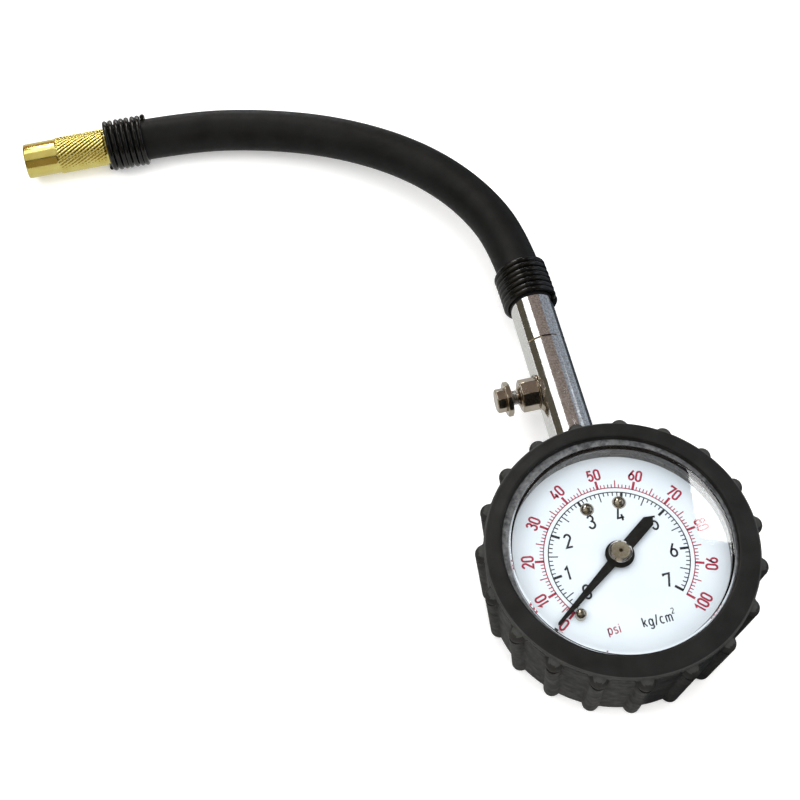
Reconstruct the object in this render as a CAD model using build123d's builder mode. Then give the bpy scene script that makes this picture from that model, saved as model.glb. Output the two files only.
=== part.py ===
from build123d import *
from math import cos, pi, radians, sin, tan
import os

# Tire pressure gauge: a Bourdon-tube gauge in a ribbed rubber boot, a chromed stem with a
# push-to-release bleed valve, a rubber hose with a spring guard at each end, and a brass
# swivel chuck. Millimetres. The origin is the centre of the boot's flat back, +Z is the
# way the dial faces and +Y is the way the stem leaves the head, at 12 o'clock.

os.makedirs("parts", exist_ok=True)

# ---- Driving dimensions --------------------------------------------------------------
dial_z = 22.8            # printed face of the dial above the boot's back
stem_z = 14.2            # height of the stem's axis
stem_radius = 6.1
hose_radius = 6.2
hose_bore_radius = 4.2
air_radius = 2.0         # the air passage through stem, fittings and chuck
window_radius = 28.0     # the raised front of the lens
case_radius = 31.0
case_wall = 1.0
rib_count = 19
rib_phase = 92.8         # degrees from +X to the rib nearest the stem
pointer_sweep = 262.3    # degrees from the zero stop to full scale
running_gap = 0.04       # radial, pivots in their plates

# Heights up the head
boot_floor_z = 1.6
case_floor_z = boot_floor_z + case_wall
back_plate_z = 6.0
plate_thickness = 1.0
front_plate_z = 17.0
dial_thickness = 0.8
dial_back_z = dial_z - dial_thickness
case_rim_z = 28.2
lens_flange_z = 29.4
lens_front_z = 30.6
lens_back_z = 28.6
boot_front_z = 31.2
pointer_z = 24.2
pointer_thickness = 0.4

# Along the stem, outwards from the head
spigot_end_y = 41.0
bleed_y = 54.7
seam_y = 68.5
hose_start_y = 82.0

# The chuck lies along -X with its guard coil resting on the ground
chuck_y = 171.9
chuck_z = 7.7
hose_end_x = -108.6
mouth_x = -134.8

# Spring guards: round wire, wound just clear of the hose
guard_wire_radius = 0.72
guard_mean_radius = chuck_z - guard_wire_radius
guard_pitch = 1.65
guard_turns = 7.5
stem_guard_y = 82.1
chuck_guard_x = -97.7

# Movement gears
gear_module = 0.3
pinion_teeth = 12
sector_teeth = 84        # in a full circle; only the toothed arc is there
pinion_pitch_radius = gear_module * pinion_teeth / 2
sector_pitch_radius = gear_module * sector_teeth / 2
sector_travel = pointer_sweep * pinion_teeth / sector_teeth
sector_direction = 200.0  # from the pointer's axis to the sector's
sector_x = (pinion_pitch_radius + sector_pitch_radius) * cos(radians(sector_direction))
sector_y = (pinion_pitch_radius + sector_pitch_radius) * sin(radians(sector_direction))

# Sector tail, link and Bourdon tip
tail_length = 5.0
tail_mid_angle = 170.0    # half-way through the travel
link_length = 9.0
tail_rest_angle = tail_mid_angle - sector_travel / 2
tail_pin_x = sector_x + tail_length * cos(radians(tail_rest_angle))
tail_pin_y = sector_y + tail_length * sin(radians(tail_rest_angle))
tip_pin_x = tail_pin_x + link_length * sin(radians(tail_mid_angle))
tip_pin_y = tail_pin_y - link_length * cos(radians(tail_mid_angle))
link_pin_radius = 0.5
link_eye_clearance = 0.35  # the tip's end of the link floats on its pin

# Axes and the planes that outlines are drawn on
stem_axis = Axis((0, 0, stem_z), (0, 1, 0))
stem_profile = Plane.XY.offset(stem_z)                      # x = radius, y = along the stem
head_profile = Plane.XZ                                     # x = radius, y = height
chuck_axis = Axis((0, chuck_y, chuck_z), (-1, 0, 0))
chuck_profile = Plane(origin=(0, chuck_y, chuck_z), x_dir=(1, 0, 0), z_dir=(0, 0, 1))
bleed_axis = Axis((0, bleed_y, stem_z), (-1, 0, 0))
bleed_profile = Plane(origin=(0, bleed_y, stem_z), x_dir=(1, 0, 0), z_dir=(0, 0, 1))
bleed_section = Plane(origin=(0, bleed_y, stem_z), x_dir=(0, 0, 1), z_dir=(-1, 0, 0))
stem_section = Plane(origin=(0, 0, stem_z), x_dir=(1, 0, 0), z_dir=(0, 1, 0))


def turn(points, plane, axis, mode=Mode.ADD):
    """Turn a closed outline, given on the plane, about an axis."""
    with BuildSketch(plane) as outline:
        with BuildLine():
            Polyline(*points, close=True)
        make_face()
    revolve(outline.sketch, axis=axis, mode=mode)


def tube_outline(start, end, outer, inner):
    """Outline of a plain ring or bush about a profile plane's local Y axis."""
    return [(inner, start), (outer, start), (outer, end), (inner, end)]


def bar_outline(start, end, outer, inner=0.0):
    """The same about a profile plane's local X axis, for pieces that lie along it."""
    return [(start, inner), (start, outer), (end, outer), (end, inner)]


def gear_tooth(plane, depth, centre, pitch_radius, angle, pitch_angle):
    """One straight-flanked tooth, pointing along the angle, with its root in the rim."""
    half_angles = ((-0.75, 0.36), (0.0, 0.22), (0.8, 0.10))
    right = []
    left = []
    for height, share in half_angles:
        radius = pitch_radius + height * gear_module
        for side, flank in ((-1, right), (1, left)):
            at = radians(angle + side * share * pitch_angle)
            flank.append((centre[0] + radius * cos(at), centre[1] + radius * sin(at)))
    root = pitch_radius - 1.6 * gear_module
    foot = []
    for side in (1, -1):
        at = radians(angle + side * 0.34 * pitch_angle)
        foot.append((centre[0] + root * cos(at), centre[1] + root * sin(at)))
    with BuildSketch(plane) as tooth:
        with BuildLine():
            Polyline(*right, *reversed(left), *foot, close=True)
        make_face()
    extrude(tooth.sketch, amount=depth)


# ---- Boot: a stretchy cup with a lip over the lens and ribs down its side -------------
rib_radius = 2.1
rib_foot_reach = 33.6
rib_head_reach = 36.4
rib_head_z = 27.5
button_radius = 2.35
boot_lip_radius = 28.2
boot_edge_radius = 34.2
boot_edge_z = 30.4
boot_ledge_radius = 34.6
boot_ledge_z = 28.8
boot_wall_top_radius = 34.0
boot_wall_foot_radius = 31.9
boot_stem_hole_radius = 6.3

with BuildPart() as boot_rib:
    with BuildSketch(Plane.XY):
        with Locations((rib_foot_reach - rib_radius, 0)):
            Circle(rib_radius)
    with BuildSketch(Plane.XY.offset(rib_head_z)):
        with Locations((rib_head_reach - rib_radius, 0)):
            Circle(rib_radius)
    loft()
    with Locations((rib_head_reach - button_radius, 0, rib_head_z)):
        Sphere(button_radius)

with BuildPart() as boot:
    boot_outline = [
        (0, 0),
        (boot_wall_foot_radius - 0.8, 0),
        (boot_wall_foot_radius, 0.8),
        (boot_wall_top_radius, boot_ledge_z - 0.8),
        (boot_ledge_radius, boot_ledge_z),
        (boot_edge_radius, boot_edge_z),
        (boot_edge_radius - 0.6, boot_edge_z + 0.35),
        (boot_lip_radius + 0.5, boot_front_z),
        (boot_lip_radius, boot_front_z - 0.4),
        (boot_lip_radius, lens_flange_z),
        (0, lens_flange_z),
    ]
    turn(boot_outline, head_profile, Axis.Z)
    with PolarLocations(0, rib_count, start_angle=rib_phase):
        add(boot_rib.part)
    turn(tube_outline(boot_floor_z, lens_flange_z, case_radius, 0), head_profile, Axis.Z,
         Mode.SUBTRACT)
    with BuildSketch(stem_section.offset(20)):
        Circle(boot_stem_hole_radius)
    extrude(amount=20, mode=Mode.SUBTRACT)
boot.part.label = "boot"
export_step(boot.part, "parts/boot.step")

# ---- Case: a deep-drawn steel cup, holed for the socket's spigot ----------------------
spigot_radius = 4.85
case_corner = 2.0
case_bore = case_radius - case_wall

with BuildPart() as case:
    case_outline = [
        (0, boot_floor_z),
        (case_radius - case_corner, boot_floor_z),
        (case_radius, boot_floor_z + case_corner),
        (case_radius, case_rim_z),
        (case_bore, case_rim_z),
        (case_bore, case_floor_z + case_corner),
        (case_bore - case_corner, case_floor_z),
        (0, case_floor_z),
    ]
    turn(case_outline, head_profile, Axis.Z)
    with BuildSketch(stem_section.offset(20)):
        Circle(spigot_radius + 0.15)
    extrude(amount=20, mode=Mode.SUBTRACT)
case.part.label = "case"
export_step(case.part, "parts/case.step")

# ---- Lens: a thick clear window with a stepped rim and a skirt that holds the dial ----
lens_skirt_radius = 29.8
lens_bore = 27.8

with BuildPart() as lens:
    lens_outline = [
        (0, lens_back_z),
        (lens_bore - 0.6, lens_back_z),
        (lens_bore, lens_back_z - 0.6),
        (lens_bore, dial_z),
        (lens_skirt_radius, dial_z),
        (lens_skirt_radius, case_rim_z),
        (case_radius - 0.2, case_rim_z),
        (case_radius - 0.2, lens_flange_z),
        (window_radius, lens_flange_z),
        (window_radius, lens_front_z - 0.4),
        (window_radius - 0.4, lens_front_z),
        (0, lens_front_z),
    ]
    turn(lens_outline, head_profile, Axis.Z)
lens.part.label = "lens"
export_step(lens.part, "parts/lens.step")

# ---- Dial plate, its two screws and the zero stop -------------------------------------
dial_radius = 29.6
dial_screw_x = 4.26
dial_screw_y = 14.25
dial_screw_shank = 1.2
dial_screw_head = 1.84
dial_screw_dome = 1.25
dial_screw_low_z = 17.5
stop_angle = 223.3
stop_reach = 18.9
stop_radius = 1.4
stop_shank_radius = 0.7
stop_post_height = 1.6
stop_dome = 0.95
arbor_hole_radius = 2.0
stop_x = stop_reach * cos(radians(stop_angle))
stop_y = stop_reach * sin(radians(stop_angle))
dial_screw_points = [(-dial_screw_x, dial_screw_y), (dial_screw_x, dial_screw_y)]


def dome(x, y, z, radius, height):
    """A low spherical cap standing on a flat face."""
    sphere_radius = (radius**2 + height**2) / (2 * height)
    with BuildSketch(head_profile) as half:
        with BuildLine():
            RadiusArc((radius, 0), (0, height), -sphere_radius)
            Polyline((0, height), (0, 0), (radius, 0))
        make_face()
    cap = revolve(half.sketch, axis=Axis.Z, mode=Mode.PRIVATE)
    add(cap.moved(Location((x, y, z))))


with BuildPart() as dial_plate:
    with BuildSketch(Plane.XY.offset(dial_back_z)):
        Circle(dial_radius)
        Circle(arbor_hole_radius, mode=Mode.SUBTRACT)
        with Locations(*dial_screw_points):
            Circle(dial_screw_shank, mode=Mode.SUBTRACT)
        with Locations((stop_x, stop_y)):
            Circle(stop_shank_radius, mode=Mode.SUBTRACT)
    extrude(amount=dial_thickness)
dial_plate.part.label = "dial_plate"
export_step(dial_plate.part, "parts/dial_plate.step")

with BuildPart() as dial_screws:
    with BuildSketch(Plane.XY.offset(dial_screw_low_z)):
        with Locations(*dial_screw_points):
            Circle(dial_screw_shank)
    extrude(amount=dial_z - dial_screw_low_z)
    for screw_x, screw_y in dial_screw_points:
        dome(screw_x, screw_y, dial_z, dial_screw_head, dial_screw_dome)
dial_screws.part.label = "dial_screws"
export_step(dial_screws.part, "parts/dial_screws.step")

with BuildPart() as zero_stop_pin:
    with BuildSketch(Plane.XY.offset(dial_back_z)):
        with Locations((stop_x, stop_y)):
            Circle(stop_shank_radius)
    extrude(amount=dial_thickness)
    with BuildSketch(Plane.XY.offset(dial_z)):
        with Locations((stop_x, stop_y)):
            Circle(stop_radius)
    extrude(amount=stop_post_height)
    dome(stop_x, stop_y, dial_z + stop_post_height, stop_radius, stop_dome)
zero_stop_pin.part.label = "zero_stop_pin"
export_step(zero_stop_pin.part, "parts/zero_stop_pin.step")

# ---- Bourdon tube: a flattened brass tube bent into a C, closed by its tip ------------
bourdon_radius = 23.0
bourdon_start = 76.0
bourdon_end = 165.0       # reached clockwise, the long way round
bourdon_arc = 360.0 - (bourdon_end - bourdon_start)
bourdon_height = 8.0
bourdon_width = 2.2
bourdon_skin = 0.35
tube_socket_arc = 30.0    # the stretch of the tube that is soldered into the block


def upright_plane(angle):
    """A plane through the dial's axis: local X runs outwards at the angle, local Y is up."""
    at = radians(angle)
    return Plane(origin=(0, 0, stem_z), x_dir=(cos(at), sin(at), 0), z_dir=(sin(at), -cos(at), 0))


def bourdon_section(width, height):
    """The tube's flattened section, standing at its start."""
    with BuildSketch(upright_plane(bourdon_start)) as section:
        with Locations((bourdon_radius, 0)):
            SlotOverall(height, width, rotation=90)
    return section.sketch


with BuildPart() as bourdon_tube:
    revolve(bourdon_section(bourdon_width, bourdon_height), axis=-Axis.Z, revolution_arc=bourdon_arc)
    bourdon_inside = (bourdon_width - 2 * bourdon_skin, bourdon_height - 2 * bourdon_skin)
    revolve(bourdon_section(*bourdon_inside), axis=-Axis.Z, revolution_arc=bourdon_arc, mode=Mode.SUBTRACT)
bourdon_tube.part.label = "bourdon_tube"
export_step(bourdon_tube.part, "parts/bourdon_tube.step")

# ---- Socket block: carries the tube, the movement and the dial, and takes the stem ----
block_half_width = 7.5
block_inner_y = 11.0
block_collar_y = 27.0
block_collar_radius = 7.0
block_outer_y = 29.1
block_bore_start_y = 21.0
block_bore_radius = 1.5
tube_port_y = 22.3
tube_port_radius = 0.5
tube_port_reach = 6.0
block_bottom_z = back_plate_z + plate_thickness
movement_screw_x = 4.5
movement_screw_y = 15.5
screw_shank = 1.0
movement_screw_depth = 4.0
movement_screw_points = [(-movement_screw_x, movement_screw_y), (movement_screw_x, movement_screw_y)]

with BuildPart() as socket_block:
    with BuildSketch(Plane.XY.offset(block_bottom_z)):
        with Locations((0, (block_inner_y + block_collar_y) / 2)):
            Rectangle(2 * block_half_width, block_collar_y - block_inner_y)
    extrude(amount=dial_back_z - block_bottom_z)
    with BuildSketch(stem_section.offset(block_collar_y)):
        Circle(block_collar_radius)
    extrude(amount=block_outer_y - block_collar_y)
    with BuildSketch(stem_section.offset(block_outer_y)):
        Circle(spigot_radius)
    extrude(amount=spigot_end_y - block_outer_y)
    turn(tube_outline(block_bore_start_y, spigot_end_y, block_bore_radius, 0), stem_profile, stem_axis,
         Mode.SUBTRACT)
    with BuildSketch(Plane.XY.offset(dial_screw_low_z)):
        with Locations(*dial_screw_points):
            Circle(dial_screw_shank)
    extrude(amount=dial_back_z - dial_screw_low_z, mode=Mode.SUBTRACT)
    with BuildSketch(Plane.XY.offset(block_bottom_z)):
        with Locations(*movement_screw_points):
            Circle(screw_shank)
    extrude(amount=movement_screw_depth, mode=Mode.SUBTRACT)
    revolve(bourdon_section(bourdon_width, bourdon_height), axis=-Axis.Z, revolution_arc=tube_socket_arc,
            mode=Mode.SUBTRACT)
    with BuildSketch(Plane.YZ):
        with Locations((tube_port_y, stem_z)):
            Circle(tube_port_radius)
    extrude(amount=tube_port_reach, mode=Mode.SUBTRACT)
socket_block.part.label = "socket_block"
export_step(socket_block.part, "parts/socket_block.step")

# ---- Tube tip: closes the tube and reaches inwards to the link ------------------------
tip_tab_z = 13.7
tip_tab_thickness = 1.0
tip_arc = 7.0
tip_wall = 0.5
tip_tab_reach = 22.0
tip_tab_half = 1.15
tip_middle = bourdon_end - tip_arc / 2

with BuildPart() as tube_tip:
    with BuildSketch(upright_plane(bourdon_end)):
        with Locations((bourdon_radius, 0)):
            Rectangle(bourdon_width + 2 * tip_wall, bourdon_height + 2 * tip_wall)
    revolve(axis=-Axis.Z, revolution_arc=tip_arc)
    with BuildSketch(Plane.XY.offset(tip_tab_z)):
        with Locations((tip_tab_reach * cos(radians(tip_middle)), tip_tab_reach * sin(radians(tip_middle))),
                       (tip_pin_x, tip_pin_y)):
            Circle(tip_tab_half)
        make_hull()
        with Locations((tip_pin_x, tip_pin_y)):
            Circle(link_pin_radius, mode=Mode.SUBTRACT)
    extrude(amount=tip_tab_thickness)
tube_tip.part.label = "tube_tip"
export_step(tube_tip.part, "parts/tube_tip.step")

# ---- Movement frame: two plates on three pillars, screwed under the socket block ------
pillar_points = [(-9.5, 8.8), (9.0, 5.0), (5.5, -9.5)]
pillar_radius = 1.3
pillar_spigot = 0.8
pillar_screw_low_z = 14.0
pillar_head_radius = 1.5
pillar_head_height = 1.1
pillar_slot_width = 0.4
pillar_slot_depth = 0.5
back_pad_radius = 2.6
front_pad_radius = 2.2
pivot_radius = 0.6
arbor_top_pivot = 0.9
plate_pads = [(0, 0), (sector_x, sector_y), *pillar_points]

with BuildPart() as movement_back_plate:
    with BuildSketch(Plane.XY.offset(back_plate_z)):
        with Locations(*plate_pads, *movement_screw_points):
            Circle(back_pad_radius)
        make_hull()
        with Locations(*pillar_points):
            Circle(pillar_spigot, mode=Mode.SUBTRACT)
        with Locations(*movement_screw_points):
            Circle(screw_shank, mode=Mode.SUBTRACT)
        with Locations((0, 0), (sector_x, sector_y)):
            Circle(pivot_radius + running_gap, mode=Mode.SUBTRACT)
    extrude(amount=plate_thickness)
movement_back_plate.part.label = "movement_back_plate"
export_step(movement_back_plate.part, "parts/movement_back_plate.step")

with BuildPart() as movement_front_plate:
    with BuildSketch(Plane.XY.offset(front_plate_z)):
        with Locations(*plate_pads):
            Circle(front_pad_radius)
        make_hull()
        with Locations(*pillar_points):
            Circle(pillar_spigot, mode=Mode.SUBTRACT)
        with Locations((sector_x, sector_y)):
            Circle(pivot_radius + running_gap, mode=Mode.SUBTRACT)
        Circle(arbor_top_pivot + running_gap, mode=Mode.SUBTRACT)
    extrude(amount=plate_thickness)
movement_front_plate.part.label = "movement_front_plate"
export_step(movement_front_plate.part, "parts/movement_front_plate.step")

with BuildPart() as movement_pillars:
    with BuildSketch(Plane.XY.offset(back_plate_z)):
        with Locations(*pillar_points):
            Circle(pillar_spigot)
    extrude(amount=plate_thickness)
    with BuildSketch(Plane.XY.offset(block_bottom_z)):
        with Locations(*pillar_points):
            Circle(pillar_radius)
    extrude(amount=front_plate_z - block_bottom_z)
    with BuildSketch(Plane.XY.offset(pillar_screw_low_z)):
        with Locations(*pillar_points):
            Circle(pillar_spigot)
    extrude(amount=front_plate_z - pillar_screw_low_z, mode=Mode.SUBTRACT)
movement_pillars.part.label = "movement_pillars"
export_step(movement_pillars.part, "parts/movement_pillars.step")

front_plate_top_z = front_plate_z + plate_thickness
pillar_head_top_z = front_plate_top_z + pillar_head_height

with BuildPart() as pillar_screws:
    with BuildSketch(Plane.XY.offset(pillar_screw_low_z)):
        with Locations(*pillar_points):
            Circle(pillar_spigot)
    extrude(amount=front_plate_top_z - pillar_screw_low_z)
    with BuildSketch(Plane.XY.offset(front_plate_top_z)):
        with Locations(*pillar_points):
            Circle(pillar_head_radius)
    extrude(amount=pillar_head_height)
    with BuildSketch(Plane.XY.offset(pillar_head_top_z)):
        with Locations(*pillar_points):
            Rectangle(3 * pillar_head_radius, pillar_slot_width)
    extrude(amount=-pillar_slot_depth, mode=Mode.SUBTRACT)
pillar_screws.part.label = "pillar_screws"
export_step(pillar_screws.part, "parts/pillar_screws.step")

movement_head_radius = 1.9
movement_head_height = 1.3
movement_slot_width = 0.5
movement_slot_depth = 0.6

with BuildPart() as movement_screws:
    with BuildSketch(Plane.XY.offset(back_plate_z - movement_head_height)):
        with Locations(*movement_screw_points):
            Circle(movement_head_radius)
    extrude(amount=movement_head_height)
    with BuildSketch(Plane.XY.offset(back_plate_z - movement_head_height)):
        with Locations(*movement_screw_points):
            Rectangle(3 * movement_head_radius, movement_slot_width)
    extrude(amount=movement_slot_depth, mode=Mode.SUBTRACT)
    with BuildSketch(Plane.XY.offset(back_plate_z)):
        with Locations(*movement_screw_points):
            Circle(screw_shank)
    extrude(amount=plate_thickness + movement_screw_depth)
movement_screws.part.label = "movement_screws"
export_step(movement_screws.part, "parts/movement_screws.step")

# ---- Sector gear on its shaft ---------------------------------------------------------
sector_z = 11.5
sector_thickness = 1.0
sector_tooth_pitch = 360.0 / sector_teeth
sector_mesh_angle = sector_direction - 180.0
sector_tooth_numbers = range(-10, 3)
shaft_radius = 1.0
sector_hub_radius = 2.0
sector_rim_width = 1.5
web_margin = 8.0          # degrees of solid web at each side of the window
lever_end_radius = 1.15
end_play = 0.2
shaft_low_z = block_bottom_z + end_play
shaft_high_z = front_plate_z - end_play

with BuildPart() as sector_gear:
    arc_low = sector_mesh_angle + (sector_tooth_numbers[0] - 0.5) * sector_tooth_pitch
    arc_high = sector_mesh_angle + (sector_tooth_numbers[-1] + 0.5) * sector_tooth_pitch
    rim_outer = sector_pitch_radius - 1.25 * gear_module
    rim_inner = rim_outer - sector_rim_width
    for outer, margin, mode in ((rim_outer, 0, Mode.ADD), (rim_inner, web_margin, Mode.SUBTRACT)):
        with BuildSketch(Plane(origin=(sector_x, sector_y, sector_z))) as fan:
            with BuildLine():
                fan_arc = CenterArc((0, 0), outer, arc_low + margin, arc_high - arc_low - 2 * margin)
                Line(fan_arc @ 1, (0, 0))
                Line((0, 0), fan_arc @ 0)
            make_face()
        extrude(amount=sector_thickness, mode=mode)
    with BuildSketch(Plane.XY.offset(sector_z)):
        with Locations((sector_x, sector_y)):
            Circle(sector_hub_radius)
        with Locations((tail_pin_x, tail_pin_y)):
            Circle(lever_end_radius)
        make_hull()
        with Locations((tail_pin_x, tail_pin_y)):
            Circle(link_pin_radius, mode=Mode.SUBTRACT)
    extrude(amount=sector_thickness)
    for number in sector_tooth_numbers:
        gear_tooth(Plane.XY.offset(sector_z), sector_thickness, (sector_x, sector_y), sector_pitch_radius,
                   sector_mesh_angle + number * sector_tooth_pitch, sector_tooth_pitch)
    with BuildSketch(Plane.XY.offset(sector_z)):
        with Locations((sector_x, sector_y)):
            Circle(shaft_radius)
    extrude(amount=sector_thickness, mode=Mode.SUBTRACT)
sector_gear.part.label = "sector_gear"
export_step(sector_gear.part, "parts/sector_gear.step")

with BuildPart() as sector_shaft:
    with BuildSketch(Plane.XY.offset(back_plate_z)):
        with Locations((sector_x, sector_y)):
            Circle(pivot_radius)
    extrude(amount=front_plate_z + plate_thickness - back_plate_z)
    with BuildSketch(Plane.XY.offset(shaft_low_z)):
        with Locations((sector_x, sector_y)):
            Circle(shaft_radius)
    extrude(amount=shaft_high_z - shaft_low_z)
sector_shaft.part.label = "sector_shaft"
export_step(sector_shaft.part, "parts/sector_shaft.step")

# ---- Link between the tube's tip and the sector's tail, with a pin at each end --------
link_z = 12.65
link_thickness = 0.9
link_end_radius = 1.25
pin_head_radius = 0.9
pin_head_height = 0.4
pin_end = 0.15

with BuildPart() as link:
    with BuildSketch(Plane.XY.offset(link_z)):
        with Locations((tail_pin_x, tail_pin_y), (tip_pin_x, tip_pin_y)):
            Circle(link_end_radius)
        make_hull()
        with Locations((tail_pin_x, tail_pin_y)):
            Circle(link_pin_radius + running_gap, mode=Mode.SUBTRACT)
        with Locations((tip_pin_x, tip_pin_y)):
            Circle(link_pin_radius + link_eye_clearance, mode=Mode.SUBTRACT)
    extrude(amount=link_thickness)
link.part.label = "link"
export_step(link.part, "parts/link.step")

with BuildPart() as tail_pin:
    with BuildSketch(Plane.XY.offset(sector_z)):
        with Locations((tail_pin_x, tail_pin_y)):
            Circle(link_pin_radius)
    extrude(amount=link_z + link_thickness + pin_end - sector_z)
    with BuildSketch(Plane.XY.offset(sector_z - pin_head_height)):
        with Locations((tail_pin_x, tail_pin_y)):
            Circle(pin_head_radius)
    extrude(amount=pin_head_height)
tail_pin.part.label = "tail_pin"
export_step(tail_pin.part, "parts/tail_pin.step")

with BuildPart() as tip_pin:
    with BuildSketch(Plane.XY.offset(link_z - pin_end)):
        with Locations((tip_pin_x, tip_pin_y)):
            Circle(link_pin_radius)
    extrude(amount=tip_tab_z + tip_tab_thickness - link_z + pin_end)
    with BuildSketch(Plane.XY.offset(tip_tab_z + tip_tab_thickness)):
        with Locations((tip_pin_x, tip_pin_y)):
            Circle(pin_head_radius)
    extrude(amount=pin_head_height)
tip_pin.part.label = "tip_pin"
export_step(tip_pin.part, "parts/tip_pin.step")

# ---- Pinion arbor: pivots in both plates and carries the pointer ----------------------
pinion_low_z = 10.8
pinion_height = 2.4
pinion_tooth_pitch = 360.0 / pinion_teeth
arbor_radius = 1.0
arbor_tip_radius = 0.75
arbor_top_z = 26.2

with BuildPart() as pinion_arbor:
    arbor_outline = [
        (0, back_plate_z),
        (pivot_radius, back_plate_z),
        (pivot_radius, shaft_low_z),
        (arbor_radius, shaft_low_z),
        (arbor_radius, shaft_high_z),
        (arbor_top_pivot, shaft_high_z),
        (arbor_top_pivot, dial_back_z),
        (arbor_tip_radius, dial_back_z),
        (arbor_tip_radius, arbor_top_z),
        (0, arbor_top_z),
    ]
    turn(arbor_outline, head_profile, Axis.Z)
    with BuildSketch(Plane.XY.offset(pinion_low_z)):
        Circle(pinion_pitch_radius - 1.25 * gear_module)
    extrude(amount=pinion_height)
    for number in range(pinion_teeth):
        gear_tooth(Plane.XY.offset(pinion_low_z), pinion_height, (0, 0), pinion_pitch_radius,
                   sector_direction + (number + 0.5) * pinion_tooth_pitch, pinion_tooth_pitch)
pinion_arbor.part.label = "pinion_arbor"
export_step(pinion_arbor.part, "parts/pinion_arbor.step")

# ---- Hairspring: takes up the backlash; collet on the arbor, post on the front plate --
spring_z = 14.6
spring_height = 0.6
spring_strip = 0.14
spring_inner = 1.65
spring_outer = 4.7
spring_turns = 5.0
spring_post_radius = 0.6
collet_margin = 0.2
post_drop = 0.3


def spiral(offset):
    """Points of an even spiral, offset outwards by half the strip or inwards by it."""
    steps = int(spring_turns * 12)
    points = []
    for step in range(steps + 1):
        angle = 2 * pi * spring_turns * step / steps
        radius = spring_inner + (spring_outer - spring_inner) * step / steps + offset
        points.append((radius * cos(angle), radius * sin(angle)))
    return points


with BuildPart() as hairspring:
    with BuildSketch(Plane.XY.offset(spring_z)):
        with BuildLine():
            outer_edge = Spline(*spiral(spring_strip / 2))
            inner_edge = Spline(*spiral(-spring_strip / 2))
            Line(outer_edge @ 0, inner_edge @ 0)
            Line(outer_edge @ 1, inner_edge @ 1)
        make_face()
    extrude(amount=spring_height)
hairspring.part.label = "hairspring"
export_step(hairspring.part, "parts/hairspring.step")

with BuildPart() as spring_collet:
    turn(tube_outline(spring_z - collet_margin, spring_z + spring_height + collet_margin,
                      spring_inner - spring_strip / 2, arbor_radius), head_profile, Axis.Z)
spring_collet.part.label = "spring_collet"
export_step(spring_collet.part, "parts/spring_collet.step")

with BuildPart() as spring_post:
    with BuildSketch(Plane.XY.offset(spring_z - post_drop)):
        with Locations((spring_outer + spring_strip / 2 + spring_post_radius, 0)):
            Circle(spring_post_radius)
    extrude(amount=front_plate_z - spring_z + post_drop)
spring_post.part.label = "spring_post"
export_step(spring_post.part, "parts/spring_post.step")

# ---- Pointer, pressed on the arbor under a cap ----------------------------------------
pointer_angle = 216.0
needle_length = 24.8
needle_root_half = 1.3
needle_tip_half = 0.4
tail_reach = 13.7
tail_shoulder = 11.9
tail_half = 1.55
boss_radius = 3.7
hub_radius = 2.4
hub_drop = 0.9
cap_radius = 2.95
cap_flat_radius = 2.3
cap_z = 25.2
cap_top_z = 26.9

with BuildPart() as pointer:
    blade = Plane(origin=(0, 0, pointer_z), z_dir=(0, 0, 1),
                  x_dir=(cos(radians(pointer_angle)), sin(radians(pointer_angle)), 0))
    with BuildSketch(blade):
        with BuildLine():
            Polyline((0, -needle_root_half), (needle_length - needle_tip_half, -needle_tip_half),
                     (needle_length, 0), (needle_length - needle_tip_half, needle_tip_half),
                     (0, needle_root_half), close=True)
        make_face()
        with BuildLine():
            Polyline((0, -tail_half), (-tail_shoulder, -tail_half), (-tail_reach, 0),
                     (-tail_shoulder, tail_half), (0, tail_half), close=True)
        make_face()
        Circle(boss_radius)
    extrude(amount=pointer_thickness)
    turn(tube_outline(pointer_z - hub_drop, cap_z, hub_radius, 0), head_profile, Axis.Z)
    turn(tube_outline(pointer_z - hub_drop, cap_z, arbor_tip_radius, 0), head_profile, Axis.Z, Mode.SUBTRACT)
pointer.part.label = "pointer"
export_step(pointer.part, "parts/pointer.step")

with BuildPart() as pointer_cap:
    cap_outline = [
        (0, cap_z),
        (cap_radius, cap_z),
        (cap_radius, cap_top_z - 0.6),
        (cap_flat_radius, cap_top_z),
        (0.35, cap_top_z),
        (0, cap_top_z - 0.3),
    ]
    turn(cap_outline, head_profile, Axis.Z)
    turn(tube_outline(cap_z, arbor_top_z, arbor_tip_radius, 0), head_profile, Axis.Z, Mode.SUBTRACT)
pointer_cap.part.label = "pointer_cap"
export_step(pointer_cap.part, "parts/pointer_cap.step")

# ---- Stem body: screwed on the spigot, tapped at the side for the bleed valve ---------
stem_start_y = case_radius + 0.1
stem_seal_thickness = 0.8
fitting_thread_radius = 4.5
fitting_thread_y = 62.0
fitting_seal_y = 61.0
seam_chamfer = 0.3
spot_face_x = -5.0
spot_face_radius = 5.2
bleed_thread_radius = 3.0
port_depth_y = spigot_end_y + stem_seal_thickness

with BuildPart() as stem_body:
    stem_outline = [
        (spigot_radius, stem_start_y),
        (stem_radius, stem_start_y),
        (stem_radius, seam_y - seam_chamfer),
        (stem_radius - seam_chamfer, seam_y),
        (fitting_thread_radius, seam_y),
        (fitting_thread_radius, fitting_seal_y),
        (air_radius, fitting_seal_y),
        (air_radius, port_depth_y),
        (spigot_radius, port_depth_y),
    ]
    turn(stem_outline, stem_profile, stem_axis)
    with BuildSketch(bleed_section):
        Circle(bleed_thread_radius)
    extrude(amount=stem_radius + 1, mode=Mode.SUBTRACT)
    with BuildSketch(bleed_section.offset(-spot_face_x)):
        Circle(spot_face_radius)
    extrude(amount=3, mode=Mode.SUBTRACT)
stem_body.part.label = "stem_body"
export_step(stem_body.part, "parts/stem_body.step")

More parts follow.
